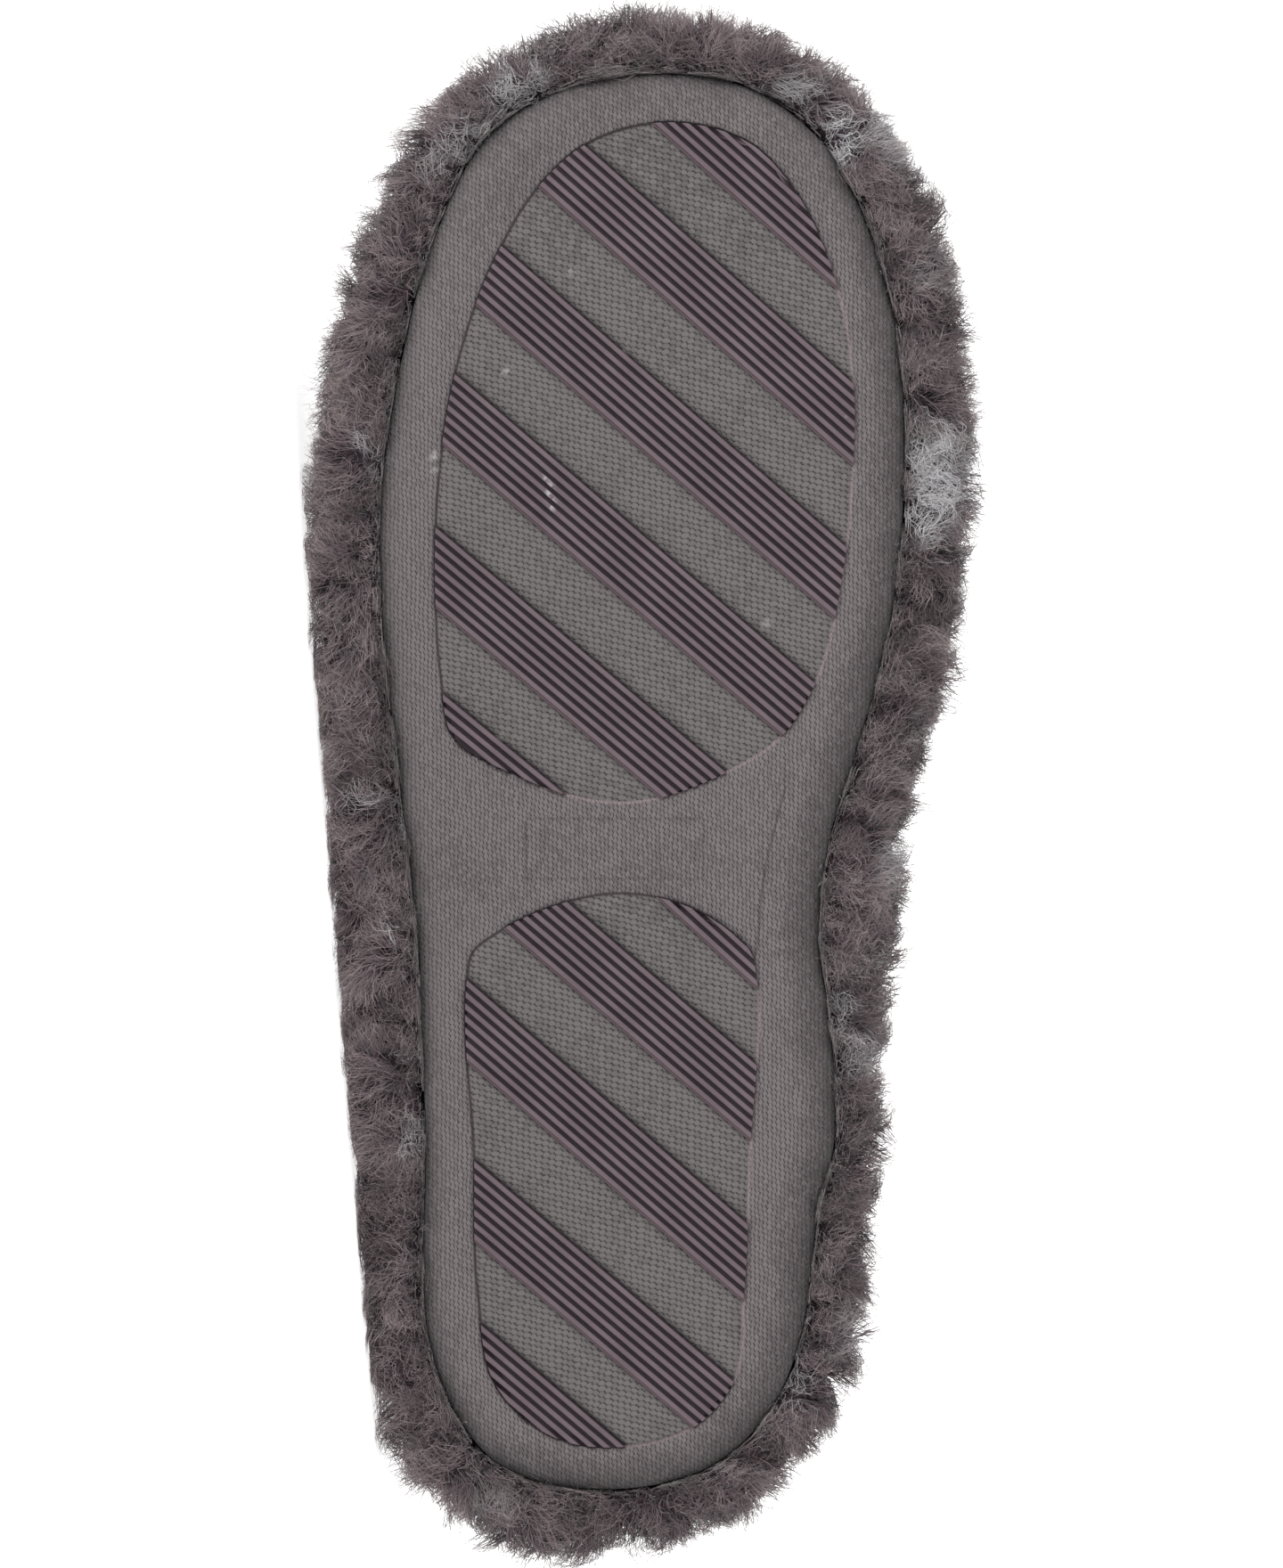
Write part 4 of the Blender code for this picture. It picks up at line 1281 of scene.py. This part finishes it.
# %% Fibres
Pile = namedtuple(
    "Pile",
    "length width lean_root lean_tip tuft gather curl swirl joints stay_outside",
    defaults=(False,),
)
DEEP_PILE = Pile(9.0, 0.22, 8.0, 96.0, 30, 0.30, 1.65, 1.2, 4)
UPPER_PILE = Pile(9.3, 0.28, 8.0, 94.0, 28, 0.32, 1.6, 1.2, 4)
SHORT_PILE = Pile(3.4, 0.30, 20.0, 80.0, 12, 0.50, 0.45, 2.5, 2)
CURL_TURNS = 1.4
# How much tufts differ in way, lean and length, and single fibres in way and in place on the curl
TUFT_TURN, TUFT_LEAN, TUFT_LENGTH = 0.75, 0.25, 0.07
FIBRE_WAY, FIBRE_PHASE = 0.48, 0.9
# A few fibres reach over the seam, by this many millimetres
WISP_SHARE, WISP_REACH = 0.03, 1.3


def fibre_paths(roots, pile, seed):
    """Points along each fibre, root first, and each fibre's tuft."""
    random = np.random.RandomState(seed)
    count = len(roots.point)
    tufts = random.permutation(count)[: max(1, count // pile.tuft)]
    tree = KDTree(len(tufts))
    for k, point in enumerate(roots.point[tufts]):
        tree.insert(point, k)
    tree.balance()
    found = [tree.find(point) for point in roots.point.tolist()]
    own_tuft = np.array([hit[1] for hit in found])
    from_middle = np.array([hit[2] for hit in found])
    from_middle = np.clip(from_middle / (1.6 * from_middle.mean()), 0, 1)
    tuft_point, tuft_normal = roots.point[tufts], roots.normal[tufts]

    # Which way each tuft leans, and how far
    flow = roots.out[tufts]
    flow = unit(flow - tuft_normal * (flow * tuft_normal).sum(axis=1)[:, None])
    turn = pile.swirl * drift(tuft_point, 24.0, seed + 1) + TUFT_TURN * random.normal(size=len(tufts))
    flow = flow * np.cos(turn)[:, None] + np.cross(tuft_normal, flow) * np.sin(turn)[:, None]
    lean_more = 1 + TUFT_LEAN * random.normal(size=len(tufts))
    uneven = 0.12 * drift(tuft_point, 17.0, seed + 2) + 0.15 * drift(tuft_point, 7.0, seed + 3)
    tuft_length = pile.length * (1 + uneven + TUFT_LENGTH * random.normal(size=len(tufts)))
    phase = random.uniform(0, 2 * math.pi, len(tufts))
    curl = pile.curl * random.uniform(0.5, 1.5, len(tufts))

    upright = smoothstep(4.5, 0.8, roots.room) if pile.stay_outside else np.zeros(count)
    share_steps = np.arange(1, pile.joints + 1) / pile.joints

    def path(point, normal, which, length, wobble, lean_share, own_phase):
        way = unit(flow[which] + wobble)
        way = unit(way - normal * (way * normal).sum(axis=1)[:, None])
        across = np.cross(normal, way)
        steps = [point]
        for share in share_steps:
            lean = np.radians(pile.lean_root + (pile.lean_tip - pile.lean_root) * share)
            lean = np.clip(lean * lean_more[which] * lean_share, 0.1, 2.0)[:, None]
            onward = normal * np.cos(lean) + way * np.sin(lean)
            steps.append(steps[-1] + onward * (length / pile.joints)[:, None])
        steps = np.array(steps)
        for k, share in enumerate(share_steps, start=1):
            angle = phase[which] + own_phase + 2 * math.pi * CURL_TURNS * share
            circle = across * np.cos(angle)[:, None] + normal * np.sin(angle)[:, None]
            steps[k] += (curl[which] * share)[:, None] * circle
        return steps

    every = np.arange(len(tufts))
    no_wobble = np.zeros((len(tufts), 3))
    tuft_paths = path(tuft_point, tuft_normal, every, tuft_length, no_wobble, 1.0, 0.0)
    length = tuft_length[own_tuft] * random.uniform(0.72, 1.08, count) * (1.06 - 0.22 * from_middle**2)
    length = length * (1 - 0.35 * upright)
    wobble = FIBRE_WAY * random.normal(size=(count, 3))
    own_phase = FIBRE_PHASE * random.normal(size=count)
    paths = path(roots.point, roots.normal, own_tuft, length, wobble, 1 - 0.40 * upright, own_phase)
    for k, share in enumerate(share_steps, start=1):
        pull = (pile.gather * share * random.uniform(0.5, 1.2, count) * (1 - upright))[:, None]
        paths[k] += (tuft_paths[k][own_tuft] - paths[k]) * pull
        paths[k] += (0.14 + 0.26 * share) * random.normal(size=(count, 3))
    if pile.stay_outside:
        # Fibres at the seam turn outward, so that the sole's edge stays clear
        way = unit(roots.out * np.array([1.0, 1.0, 0.0]))
        limit, wisps = random.uniform(0.2, 1.0, count), random.random_sample(count)
        room = roots.room * limit + WISP_REACH * (wisps < WISP_SHARE)
        for k in range(1, pile.joints + 1):
            along = ((paths[k] - roots.point) * way).sum(axis=1)
            paths[k] += way * np.clip(-room - along, 0, None)[:, None]
    return paths, own_tuft


# %% Pale tufts
Patch = namedtuple("Patch", "at_x at_y long wide strength")
# Where the picture shows them, from its left and top, in its pixels
PALE_PATCHES = [Patch(*row) for row in (
    (578, 105, 26, 40, 0.75), (520, 158, 34, 26, 0.55), (490, 178, 20, 20, 0.35),
    (905, 100, 24, 24, 0.45), (950, 152, 22, 36, 1.0), (988, 138, 28, 22, 0.6),
    (1018, 170, 16, 30, 0.35), (1050, 545, 36, 58, 0.95), (1085, 520, 16, 30, 0.55),
    (402, 494, 15, 15, 0.55), (422, 512, 12, 24, 0.5), (402, 900, 18, 18, 0.5),
    (465, 1278, 16, 22, 0.6), (1008, 968, 16, 30, 0.5), (942, 1148, 16, 34, 0.65),
    (968, 1190, 22, 22, 0.55), (893, 1560, 26, 30, 0.55), (960, 1500, 18, 30, 0.3),
    (433, 1040, 5, 6, 1.0), (700, 78, 30, 14, 0.25), (1050, 300, 20, 30, 0.2), (560, 1690, 26, 18, 0.2),
)]
SPOTS_ELSEWHERE = 26
SPOT_SIZE = 7.5
SPOT_RANGES = ((0, 270), (-38, 60), (22, 75))


def paleness(middle, tuft_shift, seen_below):
    """How pale each fibre is, from the patches in the picture and from spots elsewhere."""
    rough = 0.30 * drift(middle, 7.0, 71) + tuft_shift
    pale = np.zeros(len(middle))
    for patch in PALE_PATCHES:
        half_size = np.array([patch.wide, patch.long]) * MM_PER_PIXEL
        away = (middle[:, :2] - from_picture(patch.at_x, patch.at_y)) / half_size
        near = smoothstep(1.25, 0.65, np.linalg.norm(away, axis=1) + rough)
        pale = np.maximum(pale, patch.strength * near * seen_below)
    random = np.random.RandomState(29)
    spots = np.column_stack([random.uniform(*ends, SPOTS_ELSEWHERE) for ends in SPOT_RANGES])
    for spot in spots:
        away = np.linalg.norm(middle - spot, axis=1) / SPOT_SIZE
        pale = np.maximum(pale, 0.6 * smoothstep(1.5, 0.4, away + rough) * (1 - seen_below))
    return pale


# %% Ribbons
def fibre_squares(joints, count, share):
    """Where each point lies in a picture that has a small square for every fibre."""
    side_count = math.ceil(math.sqrt(count))
    cell = np.column_stack([np.arange(count) % side_count, np.arange(count) // side_count])
    across = np.tile([0.2, 0.8], joints).tolist() + [0.5]
    along = np.repeat(0.1 + 0.8 * share[:-1], 2).tolist() + [0.9]
    return (cell[:, None, :] + np.column_stack([across, along])[None]) / side_count


# %% One piece of pile
TONE_MIDDLE = 0.54
# How much slow and quick drifts, the tuft and the fibre itself change the tone, and the painted shade by
# the seam
TONE_SLOW, TONE_QUICK, TONE_OF_TUFT, TONE_OF_FIBRE, TONE_OF_SEAM_SHADE = 0.17, 0.42, 0.22, 0.14, -0.25


def pile_piece(name, roots, pile, seed, finish, slot):
    random = np.random.RandomState(seed + 50)
    paths, own_tuft = fibre_paths(roots, pile, seed)
    paths = pressed_softly(paths)
    joints, count = pile.joints, len(roots.point)
    share = np.linspace(0, 1, joints + 1)
    tangent = unit(np.gradient(paths, axis=0))
    twist = random.uniform(-1.1, 1.1, count) + share[:, None] * random.uniform(-0.8, 0.8, count)
    twist = twist[:, :, None]
    flat_way = unit(np.cross(tangent, np.broadcast_to(roots.normal, tangent.shape)))
    width_way = flat_way * np.cos(twist) + np.cross(tangent, flat_way) * np.sin(twist)
    half_width = (pile.width / 2 * (1 - share**1.4))[:, None, None] * width_way
    per = 2 * joints + 1
    points = np.empty((count, per, 3))
    points[:, 0:-1:2] = (paths - half_width)[:-1].transpose(1, 0, 2)
    points[:, 1:-1:2] = (paths + half_width)[:-1].transpose(1, 0, 2)
    points[:, -1] = paths[-1]
    points = kept_off_floor(points, 0.05).reshape(-1, 3)
    k = 2 * np.arange(joints - 1)
    quads = np.stack([k, k + 1, k + 3, k + 2], axis=1).ravel()
    one_fibre = np.concatenate([quads, [per - 3, per - 2, per - 1]])
    corners = (np.arange(count)[:, None] * per + one_fibre).ravel()

    tuft_random = np.random.RandomState(seed + 9).normal(size=own_tuft.max() + 1)[own_tuft]
    middle = paths[(joints + 1) // 2 + (joints > 2)]
    below = smoothstep(30.0, 22.0, middle[:, 2] - toe_spring(middle[:, 0]))
    pale = paleness(middle, 0.16 * tuft_random, below)
    pale = pale * (1 - 0.85 * smoothstep(2.2, 0.5, roots.room) * below)
    # Painted shade: fibres rooted near the sole's edge are darker, as in its shadow
    seam_shadow = (smoothstep(5.0, 0.0, roots.room) + 2.0 * smoothstep(1.9, 0.4, roots.room)) * below
    slow, quick = drift(middle, 19.0, seed + 4), drift(middle, 6.5, seed + 5)
    tone = TONE_MIDDLE + TONE_SLOW * slow + TONE_QUICK * quick + TONE_OF_TUFT * tuft_random
    tone = tone + TONE_OF_FIBRE * random.normal(size=count) + TONE_OF_SEAM_SHADE * seam_shadow
    values = {
        "tip": np.tile(np.concatenate([np.repeat(share[:-1], 2), [1.0]]), count),
        "tone": np.repeat(np.clip(tone, 0, 1), per),
        "pale": np.repeat(pale, per),
    }
    obj = new_piece(name, points, corners, [4] * (joints - 1) + [3], values, finish, count)
    squares = fibre_squares(joints, count, share).reshape(-1, 2)
    uv = obj.data.uv_layers.new(name="OFBake")
    uv.data.foreach_set("uv", squares[corners].astype(np.float32).ravel())
    return placed_piece(obj, slot)


# %% Finish of the fibres
fibres = Pattern("pile_fibres")
tip = fibres.read("tip")
# Painted shade and light: each fibre is darker at its root, deep in the pile, and lighter at its tip, where
# light comes through
grey = fibres.mix(fibres.ramp(tip, 0.0, 0.45), PILE_ROOT, PILE_MIDDLE)
grey = fibres.mix(fibres.ramp(tip, 0.5, 1.0), grey, PILE_TIP)
grey = fibres.toned(grey, fibres.ramp(fibres.read("tone"), 0.0, 1.0, 0.46, 1.55))
white = fibres.mix(fibres.ramp(tip, 0.0, 0.6), PALE_ROOT, PALE_TIP)
colour = fibres.mix(fibres.read("pale"), grey, white)
fibre_finish = fibres.finished(colour, None, 0.9, 0.12, sheen=0.45, sheen_roughness=0.45)

# %% Pile round the platform
COVER_FIBRES = 28000
LEAST_WEIGHT = 1e-6
cover_flow = cover_out + np.array([0.0, 0.0, -0.25])
above_ground = cover_points[:, 2] - toe_spring(cover_points[:, 0])
cover_weight = 0.6 + 1.8 * smoothstep(19.0, 10.0, above_ground) + 3.4 * smoothstep(6.4, 4.9, above_ground)
outer_side = cover_points[:, 1] < 0
platform = (cover_points, cover_normals, cover_flow, fur_faces)
for name, on_side, seed in (
    ("platform_pile_outer", outer_side, 11), ("platform_pile_inner", ~outer_side, 12),
):
    roots = scattered(*platform, cover_weight * on_side + LEAST_WEIGHT, COVER_FIBRES, seed)
    pile = DEEP_PILE._replace(stay_outside=True)
    pile_piece(name, roots, pile, seed, fibre_finish, "platform_pile")

# %% Pile on the upper
UPPER_FIBRES = 22500
rib_out = np.column_stack([upper_ribs[:, 3:5], np.full(len(upper_ribs), -0.6)])
upper_flow = np.tile(rib_out, (UPPER_RISE + 1, 1)) + np.array([0.35, 0.0, 0.0])
upper_weight = 0.7 + 0.7 * smoothstep(40.0, 25.0, backing_points[:, 2])
outer_side = backing_points[:, 1] < 4.0
vamp = (backing_points, backing_normals, upper_flow, backing_faces)
for name, on_side, seed in (
    ("upper_pile_outer", outer_side, 21), ("upper_pile_inner", ~outer_side, 22),
):
    roots = scattered(*vamp, upper_weight * on_side + LEAST_WEIGHT, UPPER_FIBRES, seed)
    pile_piece(name, roots, UPPER_PILE, seed, fibre_finish, "upper_pile")

# %% Pile over the rim, and on the footbed
RIM_FIBRES = 4000
rim_points = upper_points[roll_numbers.ravel()]
rim_faces = quads_of(numbered(roll_numbers))
rim_faces, rim_normals = facing(rim_points, rim_faces, np.array([-1.0, 0.0, 0.0]))
rim_flow = np.tile([-1.0, 0.0, -0.2], (len(rim_points), 1))
roots = scattered(rim_points, rim_normals, rim_flow, rim_faces, np.ones(len(rim_points)), RIM_FIBRES, 31)
pile_piece("rim_pile", roots, UPPER_PILE._replace(length=6.5), 31, fibre_finish, "upper_pile")

FOOTBED_FIBRES = 9000
top_faces = footbed_faces[(footbed_points[footbed_faces][:, :, 2].mean(axis=1) > 21.5)]
footbed_normals = point_normals(footbed_points, footbed_faces)
if footbed_normals[:, 2].sum() < 0:
    footbed_normals = -footbed_normals
footbed_flow = np.tile([1.0, 0.3, 0.0], (len(footbed_points), 1))
bare = smoothstep(150.0, 110.0, footbed_points[:, 0]) + 0.1
roots = scattered(footbed_points, footbed_normals, footbed_flow, top_faces, bare, FOOTBED_FIBRES, 41)
pile_piece("footbed_pile", roots, SHORT_PILE, 41, fibre_finish, "footbed_pile")
